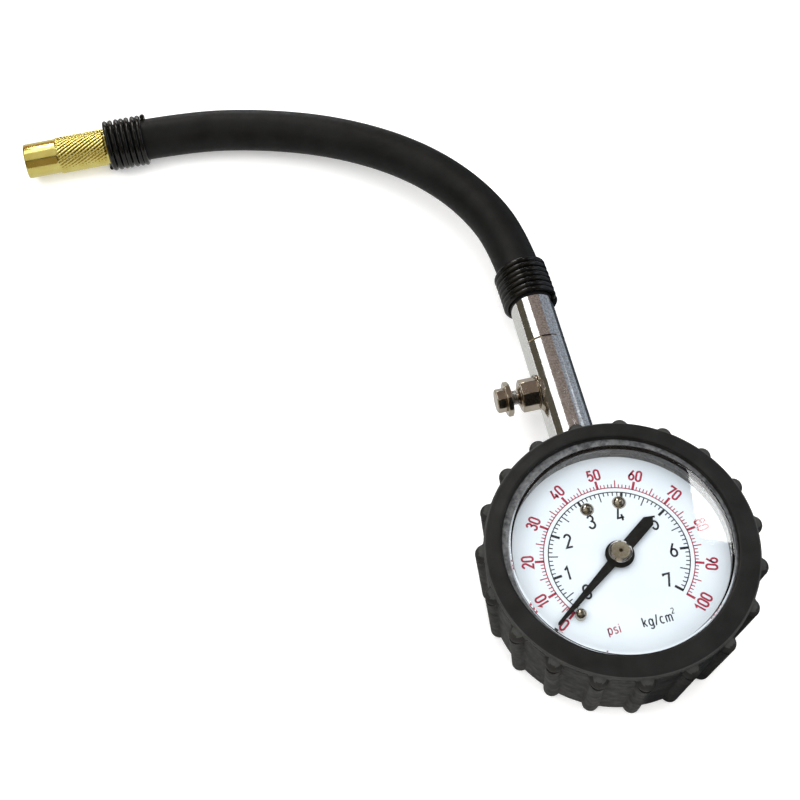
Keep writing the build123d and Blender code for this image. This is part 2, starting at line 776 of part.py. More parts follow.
with BuildPart() as stem_seal:
    turn(tube_outline(spigot_end_y, port_depth_y, spigot_radius, air_radius), stem_profile, stem_axis)
stem_seal.part.label = "stem_seal"
export_step(stem_seal.part, "parts/stem_seal.step")

with BuildPart() as fitting_seal:
    turn(tube_outline(fitting_seal_y, fitting_thread_y, fitting_thread_radius, air_radius), stem_profile,
         stem_axis)
fitting_seal.part.label = "fitting_seal"
export_step(fitting_seal.part, "parts/fitting_seal.step")

# ---- Hose barbs: three saw teeth that grip the bore -----------------------------------
barb_groove_radius = 3.6
barb_pitch = 3.4
barb_count = 3


def barb_points(start, step):
    """Saw-tooth outline of a barb, from its root at start towards its nose."""
    points = []
    for number in range(barb_count):
        at = start + step * (1.4 + number * barb_pitch)
        points.append((at, hose_bore_radius))
        points.append((at + step * (barb_pitch - 0.01), barb_groove_radius))
    return points


with BuildPart() as hose_fitting:
    fitting_barb = [(radius, along) for along, radius in barb_points(hose_start_y, 1)]
    barb_nose_y = hose_start_y + 1.4 + barb_count * barb_pitch
    fitting_outline = [
        (air_radius, fitting_thread_y),
        (fitting_thread_radius, fitting_thread_y),
        (fitting_thread_radius, seam_y),
        (stem_radius - seam_chamfer, seam_y),
        (stem_radius, seam_y + seam_chamfer),
        (stem_radius, hose_start_y),
        (hose_bore_radius, hose_start_y),
        *fitting_barb,
        (air_radius, barb_nose_y),
    ]
    turn(fitting_outline, stem_profile, stem_axis)
hose_fitting.part.label = "hose_fitting"
export_step(hose_fitting.part, "parts/hose_fitting.step")

# ---- Bleed valve: eight-sided body on a washer, sprung plunger with a flanged button ----
washer_thickness = 0.7
washer_radius = 4.9
valve_start_x = spot_face_x - washer_thickness
valve_end_x = -10.6
nose_end_x = -11.2
valve_half_width = 4.25
valve_sides = 8
valve_turn = 180 / valve_sides      # turns a flat, not a corner, to face up
valve_chamfer_radius = 4.2
valve_chamfer_slope = 0.8
thread_end_x = -2.4
bleed_seat_x = -4.4
plunger_radius = 1.0
plunger_gap = 0.05
plunger_head_radius = 1.9
plunger_head_x = -3.9
plunger_head_thickness = 0.8
plunger_end_x = -16.2
button_flange_x = -13.3
button_cap_x = -14.8
button_end_x = -17.4
flange_half_width = 4.5
cap_half_width = 3.1
bleed_spring_radius = 1.8
bleed_wire_radius = 0.22
bleed_spring_pitch = 0.53
bleed_spring_turns = 3

with BuildPart() as bleed_body:
    with BuildSketch(bleed_section.offset(-valve_start_x)):
        RegularPolygon(valve_half_width, valve_sides, major_radius=False, rotation=valve_turn)
    extrude(amount=valve_start_x - valve_end_x)
    with BuildSketch(bleed_profile) as corner_rounding:
        with BuildLine():
            Polyline((valve_end_x, valve_chamfer_radius),
                     (valve_end_x + valve_chamfer_slope, valve_chamfer_radius + 1),
                     (valve_end_x, valve_chamfer_radius + 1), close=True)
        make_face()
    revolve(corner_rounding.sketch, axis=bleed_axis, mode=Mode.SUBTRACT)
    turn([(valve_end_x, 0), (valve_end_x, 3.0), (nose_end_x, 2.4), (nose_end_x, 0)], bleed_profile, bleed_axis)
    turn(bar_outline(valve_start_x, thread_end_x, bleed_thread_radius), bleed_profile, bleed_axis)
    turn(bar_outline(nose_end_x, thread_end_x, plunger_radius + plunger_gap), bleed_profile, bleed_axis,
         Mode.SUBTRACT)
    turn(bar_outline(bleed_seat_x, thread_end_x, plunger_head_radius + 0.3), bleed_profile, bleed_axis,
         Mode.SUBTRACT)
bleed_body.part.label = "bleed_body"
export_step(bleed_body.part, "parts/bleed_body.step")

with BuildPart() as bleed_washer:
    turn(bar_outline(spot_face_x, valve_start_x, washer_radius, bleed_thread_radius), bleed_profile, bleed_axis)
bleed_washer.part.label = "bleed_washer"
export_step(bleed_washer.part, "parts/bleed_washer.step")

with BuildPart() as bleed_plunger:
    turn(bar_outline(plunger_end_x, plunger_head_x, plunger_radius), bleed_profile, bleed_axis)
    turn(bar_outline(plunger_head_x, plunger_head_x + plunger_head_thickness, plunger_head_radius),
         bleed_profile, bleed_axis)
bleed_plunger.part.label = "bleed_plunger"
export_step(bleed_plunger.part, "parts/bleed_plunger.step")

with BuildPart() as bleed_seal:
    turn(bar_outline(bleed_seat_x + 0.02, plunger_head_x, plunger_head_radius - 0.1, plunger_radius),
         bleed_profile, bleed_axis)
bleed_seal.part.label = "bleed_seal"
export_step(bleed_seal.part, "parts/bleed_seal.step")

with BuildPart() as bleed_button:
    with BuildSketch(bleed_section.offset(-button_flange_x)):
        RegularPolygon(flange_half_width, valve_sides, major_radius=False, rotation=valve_turn)
    extrude(amount=button_flange_x - button_cap_x)
    with BuildSketch(bleed_section.offset(-button_cap_x)):
        RegularPolygon(cap_half_width, valve_sides, major_radius=False, rotation=valve_turn)
    extrude(amount=button_cap_x - button_end_x)
    turn(bar_outline(plunger_end_x, button_flange_x, plunger_radius), bleed_profile, bleed_axis,
         Mode.SUBTRACT)
bleed_button.part.label = "bleed_button"
export_step(bleed_button.part, "parts/bleed_button.step")


def coil_spring(start, direction, mean_radius, wire_radius, pitch, turns):
    """A round-wire helix that starts at a point on its axis."""
    with BuildLine() as wire_path:
        Helix(pitch, pitch * turns, mean_radius, center=start, direction=direction)
    with BuildSketch(Plane(wire_path.line @ 0, z_dir=wire_path.line % 0)) as wire_section:
        Circle(wire_radius)
    sweep(wire_section.sketch, path=wire_path.line, is_frenet=True)


with BuildPart() as bleed_spring:
    coil_spring((nose_end_x - bleed_wire_radius - 0.03, bleed_y, stem_z), (-1, 0, 0), bleed_spring_radius,
                bleed_wire_radius, bleed_spring_pitch, bleed_spring_turns)
bleed_spring.part.label = "bleed_spring"
export_step(bleed_spring.part, "parts/bleed_spring.step")

# ---- Hose: straight runs joined by tangent arcs, sweeping round to the left -----------
hose_route = [
    (0, hose_start_y, stem_z),
    (0, 103, stem_z),
    (-6.5, 123, 13.6),
    (-20, 141.5, 12.2),
    (-40, 156.5, 10.5),
    (-63, 166.5, 8.9),
    (-86, chuck_y, chuck_z),
    (hose_end_x, chuck_y, chuck_z),
]


def route_radii(route):
    """The bend radius at each inner point: as large as its two runs allow."""
    radii = []
    for before, corner, after in zip(route, route[1:], route[2:]):
        run_in = Vector(corner) - Vector(before)
        run_out = Vector(after) - Vector(corner)
        half_turn = radians(run_in.get_angle(run_out)) / 2
        radii.append(0.45 * min(run_in.length, run_out.length) / tan(half_turn))
    return radii


hose_radii = route_radii(hose_route)
print("hose bend radii:", [round(radius, 1) for radius in hose_radii])

with BuildPart() as hose:
    with BuildLine() as hose_path:
        FilletPolyline(*hose_route, radius=hose_radii)
    with BuildSketch(Plane(hose_route[0], x_dir=(1, 0, 0), z_dir=(0, 1, 0))):
        Circle(hose_radius)
        Circle(hose_bore_radius, mode=Mode.SUBTRACT)
    sweep(path=hose_path.line)
hose.part.label = "hose"
export_step(hose.part, "parts/hose.step")
hose_length = sum(edge.length for edge in hose_path.line.edges())
hose_section = pi * (hose_radius**2 - hose_bore_radius**2)
print("hose length:", round(hose_length, 1), "volume over section times length:",
      round(hose.part.volume / (hose_section * hose_length), 4))

# ---- Spring guards over the two hose ends ---------------------------------------------
with BuildPart() as stem_guard:
    coil_spring((0, stem_guard_y, stem_z), (0, 1, 0), guard_mean_radius, guard_wire_radius, guard_pitch,
                guard_turns)
stem_guard.part.label = "stem_guard"
export_step(stem_guard.part, "parts/stem_guard.step")

with BuildPart() as chuck_guard:
    coil_spring((chuck_guard_x, chuck_y, chuck_z), (-1, 0, 0), guard_mean_radius, guard_wire_radius,
                guard_pitch, guard_turns)
chuck_guard.part.label = "chuck_guard"
export_step(chuck_guard.part, "parts/chuck_guard.step")

# ---- Chuck: a barb in the hose, and a knurled nut that turns on its spigot ------------
collar_radius = 4.9
collar_x = hose_end_x - 0.8
spigot_turn_radius = 3.2
web_bore_radius = 3.26
nut_rear_x = -109.7
web_end_x = -117.6
ring_start_x = -117.8
ring_end_x = -119.2
knurl_end_x = -125.4
knurl_radius = 5.65
nut_nose_radius = 5.2
mouth_radius = 3.95
mouth_depth_x = -123.9
seal_chamber_radius = 4.15
seal_radius = 3.85
seal_end_x = -121.7
seal_bore_radius = 1.7
pin_tip_x = mouth_depth_x + 0.3
pin_base_start_x = -117.0
pin_base_end_x = -118.6
pin_radius = 0.8
pin_vent_radius = 0.7

with BuildPart() as chuck_barb:
    barb_nose_x = hose_end_x + 1.4 + barb_count * barb_pitch
    barb_outline = [
        (barb_nose_x, air_radius),
        *reversed(barb_points(hose_end_x, 1)),
        (hose_end_x, hose_bore_radius),
        (hose_end_x, collar_radius),
        (collar_x, collar_radius),
        (collar_x, spigot_turn_radius),
        (ring_end_x, spigot_turn_radius),
        (ring_end_x, air_radius),
    ]
    turn(barb_outline, chuck_profile, chuck_axis)
chuck_barb.part.label = "chuck_barb"
export_step(chuck_barb.part, "parts/chuck_barb.step")

with BuildPart() as chuck_ring:
    turn(bar_outline(ring_start_x, ring_end_x, seal_radius, spigot_turn_radius), chuck_profile, chuck_axis)
chuck_ring.part.label = "chuck_ring"
export_step(chuck_ring.part, "parts/chuck_ring.step")

with BuildPart() as chuck_nut:
    nut_outline = [
        (nut_rear_x, web_bore_radius),
        (nut_rear_x, knurl_radius - 0.4),
        (nut_rear_x - 0.4, knurl_radius),
        (knurl_end_x + 0.4, knurl_radius),
        (knurl_end_x, nut_nose_radius),
        (mouth_x + 0.3, nut_nose_radius),
        (mouth_x, nut_nose_radius - 0.3),
        (mouth_x, mouth_radius),
        (mouth_depth_x, mouth_radius),
        (mouth_depth_x, seal_chamber_radius),
        (web_end_x, seal_chamber_radius),
        (web_end_x, web_bore_radius),
    ]
    turn(nut_outline, chuck_profile, chuck_axis)
chuck_nut.part.label = "chuck_nut"
export_step(chuck_nut.part, "parts/chuck_nut.step")

with BuildPart() as chuck_seal:
    turn(bar_outline(ring_end_x, seal_end_x, seal_radius, seal_bore_radius), chuck_profile, chuck_axis)
chuck_seal.part.label = "chuck_seal"
export_step(chuck_seal.part, "parts/chuck_seal.step")

with BuildPart() as depressor_pin:
    turn(bar_outline(pin_base_start_x, pin_base_end_x, air_radius), chuck_profile, chuck_axis)
    with BuildSketch(Plane(origin=(pin_base_start_x, chuck_y, chuck_z), x_dir=(0, 1, 0), z_dir=(-1, 0, 0))):
        with PolarLocations(air_radius, 3):
            Circle(pin_vent_radius)
    extrude(amount=pin_base_start_x - pin_base_end_x, mode=Mode.SUBTRACT)
    pin_outline = [
        (pin_base_end_x, 0),
        (pin_base_end_x, pin_radius),
        (pin_tip_x + 0.7, pin_radius),
        (pin_tip_x, pin_radius / 2),
        (pin_tip_x, 0),
    ]
    turn(pin_outline, chuck_profile, chuck_axis)
depressor_pin.part.label = "depressor_pin"
export_step(depressor_pin.part, "parts/depressor_pin.step")
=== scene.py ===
from math import asin, cos, degrees, pi, radians, sin, sqrt, tan, tau

import bmesh
import bpy
from mathutils import Matrix, Vector


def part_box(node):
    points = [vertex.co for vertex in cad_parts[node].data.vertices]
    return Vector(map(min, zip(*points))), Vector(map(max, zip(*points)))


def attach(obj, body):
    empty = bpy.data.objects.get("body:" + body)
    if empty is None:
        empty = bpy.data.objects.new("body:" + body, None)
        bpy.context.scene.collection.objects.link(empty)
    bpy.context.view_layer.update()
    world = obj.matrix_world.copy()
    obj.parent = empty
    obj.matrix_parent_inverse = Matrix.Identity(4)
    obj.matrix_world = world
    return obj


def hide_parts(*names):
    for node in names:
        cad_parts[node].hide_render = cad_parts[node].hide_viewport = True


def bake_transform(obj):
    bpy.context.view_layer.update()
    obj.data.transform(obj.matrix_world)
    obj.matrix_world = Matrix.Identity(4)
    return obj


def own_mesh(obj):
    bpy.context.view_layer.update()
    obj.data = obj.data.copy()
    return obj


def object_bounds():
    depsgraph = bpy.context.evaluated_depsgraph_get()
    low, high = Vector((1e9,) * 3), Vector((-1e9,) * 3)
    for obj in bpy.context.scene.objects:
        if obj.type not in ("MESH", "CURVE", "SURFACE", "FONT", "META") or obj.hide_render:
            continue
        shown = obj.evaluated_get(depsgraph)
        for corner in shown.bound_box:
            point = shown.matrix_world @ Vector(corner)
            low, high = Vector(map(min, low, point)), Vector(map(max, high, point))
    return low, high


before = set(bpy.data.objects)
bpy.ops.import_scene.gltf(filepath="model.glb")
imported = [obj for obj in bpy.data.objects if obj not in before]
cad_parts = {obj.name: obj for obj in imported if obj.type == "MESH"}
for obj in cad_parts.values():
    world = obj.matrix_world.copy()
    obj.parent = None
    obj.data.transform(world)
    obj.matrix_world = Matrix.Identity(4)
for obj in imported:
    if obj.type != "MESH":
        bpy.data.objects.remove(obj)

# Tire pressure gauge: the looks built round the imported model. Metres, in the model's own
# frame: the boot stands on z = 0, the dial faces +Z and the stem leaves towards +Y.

cad_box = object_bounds()
mm = 0.001

# ---- Sizes read from the model ----
stem_low, stem_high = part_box("stem_body")
nut_low, nut_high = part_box("chuck_nut")
body_low, body_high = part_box("bleed_body")
button_low, button_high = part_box("bleed_button")
washer_low, washer_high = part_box("bleed_washer")
cap_low, cap_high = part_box("pointer_cap")
stem_z = (stem_low.z + stem_high.z) / 2
bleed_y = (body_low.y + body_high.y) / 2
chuck_y = (nut_low.y + nut_high.y) / 2
chuck_z = (nut_low.z + nut_high.z) / 2
dial_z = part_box("dial_plate")[1].z
lens_front_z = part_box("lens")[1].z
pointer_top_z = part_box("pointer")[1].z
guard_radius = (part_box("chuck_guard")[1].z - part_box("chuck_guard")[0].z) / 2


def add_object(name, data):
    """Puts a new object in the scene."""
    made = bpy.data.objects.new(name, data)
    bpy.context.scene.collection.objects.link(made)
    return made


# ---- Camera ----
def add_camera():
    """Looks down on the dial from the front, a little from the left, with a slight roll."""
    position = Vector((-80.19, -130.34, 374.66)) * mm
    target = Vector((-41.24, 68.79, 0)) * mm
    roll = Matrix.Rotation(radians(-2.01), 4, "Z")
    camera = add_object("camera", bpy.data.cameras.new("camera"))
    camera.data.sensor_width = 36
    camera.data.lens = 67.5
    look = (target - position).to_track_quat("-Z", "Y").to_matrix().to_4x4()
    camera.matrix_world = Matrix.Translation(position) @ look @ roll
    bpy.context.scene.camera = camera
    return camera


camera = add_camera()


# ---- Material building blocks ----
class Finish:
    """A material's nodes: one Principled shader, and the textures that feed it."""

    def __init__(self, name, colour, roughness, metallic=0.0):
        self.material = bpy.data.materials.new(name)
        self.material.use_nodes = True
        self.tree = self.material.node_tree
        self.shader = self.tree.nodes["Principled BSDF"]
        self.shader.inputs["Base Color"].default_value = (*colour, 1)
        self.shader.inputs["Roughness"].default_value = roughness
        self.shader.inputs["Metallic"].default_value = metallic
        self.place = self.tree.nodes.new("ShaderNodeTexCoord").outputs["Object"]
        self.normal = None

    def set(self, **values):
        """Constant values on the shader's own sockets, with _ for spaces."""
        for name, value in values.items():
            self.shader.inputs[name.replace("_", " ")].default_value = value
        return self

    def node(self, kind, inputs=(), **settings):
        made = self.tree.nodes.new(kind)
        for name, value in settings.items():
            setattr(made, name, value)
        for name, value in dict(inputs).items():
            if isinstance(value, bpy.types.NodeSocket):
                self.tree.links.new(value, made.inputs[name])
            else:
                made.inputs[name].default_value = value
        return made

    def noise(self, size, detail, stretch=(1, 1, 1)):
        """Noise with grains of this size in metres, stretched along the object's axes."""
        mapped = self.node("ShaderNodeMapping", {"Vector": self.place,
                                                 "Scale": [1 / (size * s) for s in stretch]})
        texture = self.node("ShaderNodeTexNoise", {"Vector": mapped.outputs["Vector"], "Scale": 1.0,
                                                   "Detail": detail})
        return texture.outputs["Fac"]

    def ramp(self, value, low, high, start=0.0, end=1.0):
        """The value spread from low to high, over the stretch from start to end."""
        spread = self.node("ShaderNodeMapRange", {"Value": value, "From Min": start, "From Max": end,
                                                  "To Min": low, "To Max": high})
        return spread.outputs["Result"]

    def mix(self, share, first, second):
        mixed = self.node("ShaderNodeMix", data_type="RGBA")
        for name, value in (("Factor", share), ("A", first), ("B", second)):
            socket = [s for s in mixed.inputs if s.name == name and s.enabled][0]
            if isinstance(value, bpy.types.NodeSocket):
                self.tree.links.new(value, socket)
            else:
                socket.default_value = value if name == "Factor" else (*value, 1)
        return [s for s in mixed.outputs if s.enabled][0]

    def colour(self, socket):
        self.tree.links.new(socket, self.shader.inputs["Base Color"])

    def roughness(self, socket):
        self.tree.links.new(socket, self.shader.inputs["Roughness"])

    def clouds(self, noise, start, end, first, second):
        """Base colour that drifts between two colours with a noise."""
        self.colour(self.mix(self.ramp(noise, 0, 1, start, end), first, second))

    def patches(self, size, detail, low, high, start=0.3, end=0.7):
        """Roughness that drifts between two values, in patches of this size."""
        self.roughness(self.ramp(self.noise(size, detail), low, high, start, end))

    def bump(self, height, depth, strength):
        """Raises the surface by the height's value times the depth in metres."""
        made = self.node("ShaderNodeBump", {"Height": height, "Distance": depth,
                                            "Strength": strength})
        if self.normal:
            self.tree.links.new(self.normal, made.inputs["Normal"])
        self.normal = made.outputs["Normal"]
        self.tree.links.new(self.normal, self.shader.inputs["Normal"])


# ---- Materials ----
def moulded_rubber(name, dark, light, rough_low, rough_high, shine=0.22):
    """Moulded rubber: cloudy bloom, a fine mould grain and a few scuffs."""
    finish = Finish(name, dark, rough_low)
    finish.clouds(finish.noise(6 * mm, 5), 0.35, 0.7, dark, light)
    finish.patches(2.2 * mm, 4, rough_low, rough_high)
    finish.bump(finish.noise(0.35 * mm, 2), 0.02 * mm, 0.5)
    finish.bump(finish.noise(3 * mm, 3), 0.06 * mm, 0.35)
    return finish.set(Specular_IOR_Level=shine).material


def hose_rubber():
    """Extruded rubber: satin, with faint mottling."""
    finish = Finish("hose_rubber", (0.008, 0.008, 0.009), 0.4)
    finish.clouds(finish.noise(7 * mm, 4), 0.3, 0.75, (0.005, 0.005, 0.005), (0.009, 0.009, 0.009))
    finish.patches(1.6 * mm, 4, 0.4, 0.55)
    finish.bump(finish.noise(0.5 * mm, 3), 0.02 * mm, 0.5)
    return finish.set(Specular_IOR_Level=0.14).material


def polished_metal(name, colour, tint, roughness, scratch):
    """Plated or turned metal: tint patches, and fine scratches that run round the axis."""
    finish = Finish(name, colour, roughness, 1.0)
    finish.clouds(finish.noise(4 * mm, 4), 0.35, 0.75, colour, tint)
    wear = 0.12
    finish.patches(2.5 * mm, 5, roughness, roughness + wear, 0.4, 0.8)
    finish.bump(finish.noise(0.12 * mm, 2, scratch), 0.004 * mm, 0.35)
    return finish.material


def stem_chrome():
    """Bright plating, with a fine darker grain painted in mostly on the side away from the valve: painted
    reflection of the mottled look there.
    """
    finish = Finish("stem_chrome", (0.84, 0.84, 0.84), 0.08, 1.0)
    across = finish.node("ShaderNodeSeparateXYZ", {"Vector": finish.place}).outputs["X"]
    # Painted reflection: the darker grain is mixed in mostly on the +X side, where the stem's reflection
    # looks mottled.
    mottled_reflection_side = finish.ramp(across, 0.25, 1.0, -4 * mm, 1 * mm)
    grain = finish.ramp(finish.noise(0.5 * mm, 4), 0, 1, 0.36, 0.64)
    share = finish.node("ShaderNodeMath", {0: grain, 1: mottled_reflection_side}, operation="MULTIPLY").outputs[0]
    finish.colour(finish.mix(share, (0.94, 0.94, 0.94), (0.52, 0.51, 0.49)))
    finish.patches(2 * mm, 4, 0.05, 0.16, 0.35, 0.7)
    finish.bump(finish.noise(0.9 * mm, 3, (1, 1.6, 1)), 0.03 * mm, 0.4)
    finish.bump(finish.noise(0.12 * mm, 2, (1, 0.06, 1)), 0.003 * mm, 0.3)
    return finish.material


def painted_wire():
    """Glossy black lacquer over wound wire, with thin spots."""
    finish = Finish("guard_wire", (0.005, 0.005, 0.005), 0.14)
    finish.clouds(finish.noise(1.2 * mm, 3), 0.5, 0.8, (0.003, 0.003, 0.003), (0.009, 0.008, 0.006))
    finish.patches(0.8 * mm, 3, 0.1, 0.22)
    finish.bump(finish.noise(0.9 * mm, 2), 0.012 * mm, 0.25)
    return finish.set(Specular_IOR_Level=0.4).material


def enamelled_dial():
    """White enamel on the dial sheet, a little cool, with a faint roller texture."""
    finish = Finish("dial_white", (0.8, 0.84, 0.88), 0.5)
    finish.clouds(finish.noise(12 * mm, 3), 0.3, 0.7, (0.70, 0.76, 0.81), (0.76, 0.81, 0.85))
    finish.patches(1 * mm, 3, 0.42, 0.58)
    finish.bump(finish.noise(0.25 * mm, 2), 0.004 * mm, 0.3)
    return finish.material


def printing_ink(name, colour):
    """Pad-printed ink, slightly uneven."""
    finish = Finish(name, colour, 0.45)
    paler = [c * 0.85 + 0.03 for c in colour]
    finish.colour(finish.mix(finish.ramp(finish.noise(0.3 * mm, 3), 0, 0.8, 0.45, 0.75), colour, paler))
    finish.patches(0.5 * mm, 2, 0.38, 0.52)
    return finish.material


def pointer_lacquer():
    """Satin black lacquer on the pointer's sheet."""
    finish = Finish("pointer_black", (0.006, 0.006, 0.006), 0.35)
    finish.clouds(finish.noise(0.8 * mm, 3), 0.4, 0.8, (0.005, 0.005, 0.005), (0.014, 0.014, 0.014))
    finish.patches(0.7 * mm, 3, 0.3, 0.46)
    finish.bump(finish.noise(0.2 * mm, 2), 0.006 * mm, 0.3)
    return finish.set(Specular_IOR_Level=0.12).material


def clear_plastic():
    """Moulded clear plastic. Shadow rays pass straight through, so the dial is lit."""
    finish = Finish("lens_clear", (0.97, 0.98, 0.985), 0.02)
    finish.set(Transmission_Weight=1.0, IOR=1.46)
    finish.patches(5 * mm, 3, 0.0, 0.04, 0.4, 0.8)
    output = finish.tree.nodes["Material Output"]
    path = finish.node("ShaderNodeLightPath")
    clear = finish.node("ShaderNodeBsdfTransparent", {"Color": (0.96, 0.97, 0.98, 1)})
    passing = finish.node("ShaderNodeMath", {0: path.outputs["Is Shadow Ray"],
                                             1: path.outputs["Is Diffuse Ray"]}, operation="MAXIMUM")
    both = finish.node("ShaderNodeMixShader", {0: passing.outputs[0], 1: finish.shader.outputs[0],
                                               2: clear.outputs[0]})
    finish.tree.links.new(both.outputs[0], output.inputs["Surface"])
    return finish.material


rubber_ring = moulded_rubber("boot_ring_rubber", (0.007, 0.007, 0.007), (0.012, 0.012, 0.012), 0.4, 0.55)
rubber_band = moulded_rubber("boot_band_rubber", (0.03, 0.031, 0.03), (0.046, 0.047, 0.044), 0.55, 0.7)
rubber_wall = moulded_rubber("boot_wall_rubber", (0.012, 0.012, 0.011), (0.024, 0.023, 0.021), 0.5, 0.7,
                             0.16)
round_x = (0.06, 1, 1)     # scratches that run round the X axis: short along it
round_z = (1, 1, 0.06)
finishes = {
    "boot_rubber": rubber_wall,
    "case_steel": moulded_rubber("case_steel", (0.02, 0.02, 0.021), (0.05, 0.05, 0.05), 0.3, 0.5),
    "lens_clear": clear_plastic(),
    "dial_white": enamelled_dial(),
    "pointer_black": pointer_lacquer(),
    "stem_chrome": stem_chrome(),
    "guard_wire": painted_wire(),
    "hose_rubber": hose_rubber(),
    "seal_rubber": moulded_rubber("seal_rubber", (0.012, 0.012, 0.012), (0.03, 0.028, 0.026), 0.5, 0.65),
}
metals = {
    "nickel": ((0.54, 0.48, 0.4), (0.42, 0.36, 0.29), 0.1, round_z),
    "chuck_brass": ((0.92, 0.8, 0.27), (0.8, 0.66, 0.18), 0.13, round_x),
    "movement_brass": ((0.8, 0.6, 0.28), (0.66, 0.46, 0.2), 0.24, round_z),
    "bourdon_bronze": ((0.7, 0.42, 0.24), (0.56, 0.32, 0.2), 0.26, round_z),
    "bright_steel": ((0.62, 0.62, 0.63), (0.5, 0.49, 0.48), 0.2, round_z),
}
for name, look in metals.items():
    finishes[name] = polished_metal(name, *look)
red_ink = printing_ink("red_ink", (0.33, 0.01, 0.04))
black_ink = printing_ink("black_ink", (0.006, 0.006, 0.008))

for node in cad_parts.values():
    node.material_slots[0].material = finishes[node.data.materials[0].name]


# ---- Mesh building blocks ----
def smooth(mesh, sharp=35):
    """Smooth shading, with edges sharper than this many degrees kept."""
    mesh.polygons.foreach_set("use_smooth", [True] * len(mesh.polygons))
    mesh.set_sharp_from_angle(angle=radians(sharp))


def new_mesh(name, points, faces, sharp=35):
    """A mesh with doubled points welded and its faces turned outwards."""
    weld = 1e-7
    work = bmesh.new()
    corners = [work.verts.new(point) for point in points]
    for face in faces:
        work.faces.new([corners[i] for i in face])
    bmesh.ops.remove_doubles(work, verts=work.verts, dist=weld)
    bmesh.ops.dissolve_degenerate(work, edges=work.edges, dist=weld)
    bmesh.ops.recalc_face_normals(work, faces=work.faces)
    mesh = bpy.data.meshes.new(name)
    work.to_mesh(mesh)
    work.free()
    smooth(mesh, sharp)
    return mesh


def paint_zones(mesh, materials, zone):
    """Gives each face the material whose number zone picks from its reach and height in mm."""
    for material in materials:
        mesh.materials.append(material)
    for face in mesh.polygons:
        centre = face.center / mm
        face.material_index = zone(sqrt(centre.x**2 + centre.y**2), centre.z)


def bevel_edges(mesh, width, angle, chosen=lambda edge: True, **settings):
    """Bevels the chosen edges of a mesh that turn by more than this many degrees."""
    work = bmesh.new()
    work.from_mesh(mesh)
    edges = [e for e in work.edges
             if len(e.link_faces) == 2 and e.calc_face_angle() > radians(angle) and chosen(e)]
    bmesh.ops.bevel(work, geom=edges, offset=width * mm, segments=3, affect="EDGES", **settings)
    work.to_mesh(mesh)
    work.free()


def add_piece(name, mesh, body, slot=None, stands_for=(), finish=None):
    """Puts a mesh or curve in the scene, riding on a body, in place of CAD nodes.

    It gets its slot's finish, unless it is given one or its mesh has its own.
    """
    piece = add_object(name, mesh)
    if len(mesh.materials) == 0:
        mesh.materials.append(finish or finishes[slot])
    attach(piece, body)
    if stands_for:
        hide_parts(*stands_for)
    return piece


def ring_faces(count, around, closed=False):
    """Quads between rings of points, each ring closed on itself."""
    faces = []
    for row in range(count if closed else count - 1):
        here = row * around
        above = ((row + 1) % count) * around
        for column in range(around):
            beside = (column + 1) % around
            faces.append((here + column, here + beside, above + beside, above + column))
    return faces


def rounded(outline, radius, steps=4, closed=False):
    """An outline with each corner turned by a small arc, smaller where its sides are short."""
    points = [Vector(point) for point in outline]
    made = [] if closed else [points[0]]
    last = len(points) - (0 if closed else 1)
    for i in range(0 if closed else 1, last):
        corner = points[i]
        to_last = points[i - 1] - corner
        to_next = points[(i + 1) % len(points)] - corner
        turn = pi - to_last.angle(to_next)
        if turn < radians(3):
            made.append(corner)
            continue
        half = turn / 2
        reach = min(radius * tan(half), to_last.length * 0.45, to_next.length * 0.45)
        first = corner + to_last.normalized() * reach
        second = corner + to_next.normalized() * reach
        for step in range(steps + 1):
            t = step / steps
            made.append(first * (1 - t) ** 2 + corner * 2 * t * (1 - t) + second * t**2)
    if not closed:
        made.append(points[-1])
    return made


def turned_point(radius, angle, height):
    """The point at this radius and height in millimetres, turned about the Z axis."""
    return Vector((radius * cos(angle), radius * sin(angle), height)) * mm


def lathe(name, outline, where, segments, corner=0.0, sharp=35, closed=True):
    """Turns an outline of (radius, height) in millimetres about the local Z axis of where."""
    profile = rounded(outline, corner, closed=closed) if corner else [Vector(p) for p in outline]
    points = []
    for radius, height in profile:
        for column in range(segments):
            points.append(where @ turned_point(radius, tau * column / segments, height))
    return new_mesh(name, points, ring_faces(len(profile), segments, closed=closed), sharp)


def axis_frame(origin, direction):
    """A frame with its Z axis along the direction."""
    return Matrix.Translation(origin) @ Vector(direction).to_track_quat("Z", "Y").to_matrix().to_4x4()


dial_axis = Matrix.Identity(4)
bleed_axis = axis_frame((0, bleed_y, stem_z), (-1, 0, 0))
chuck_axis = axis_frame((0, chuck_y, chuck_z), (-1, 0, 0))


# ---- Hose ----
hose_route = [
    (0, 0.082, 0.0142),
    (0, 0.103, 0.0142),
    (-0.0065, 0.123, 0.0136),
    (-0.020, 0.1415, 0.0122),
    (-0.040, 0.1565, 0.0105),
    (-0.063, 0.1665, 0.0089),
    (-0.086, 0.1719, 0.0077),
    (-0.1086, 0.1719, 0.0077),
]
hose_radius = 6.2 * mm


def route_curve(name):
    """The hose's own smooth line."""
    curve = bpy.data.curves.new(name, "CURVE")
    curve.dimensions = "3D"
    curve.resolution_u = 32
    spline = curve.splines.new("NURBS")
    spline.points.add(len(hose_route) - 1)
    for point, place in zip(spline.points, hose_route):
        point.co = (*place, 1)
    spline.order_u = 3
    spline.use_endpoint_u = True
    return curve


def route_points():
    """Points read from the hose's line, close together."""
    probe = add_object("route_probe", route_curve("route_probe"))
    line = bpy.data.meshes.new_from_object(probe)
    points = [vertex.co.copy() for vertex in line.vertices]
    bpy.data.objects.remove(probe)
    bpy.data.meshes.remove(line)
    return points


def make_hose():
    curve = route_curve("hose_tube")
    curve.bevel_depth = hose_radius
    curve.bevel_resolution = 20
    curve.use_fill_caps = True
    return add_piece("hose_tube", curve, "gauge", "hose_rubber", ["hose"])


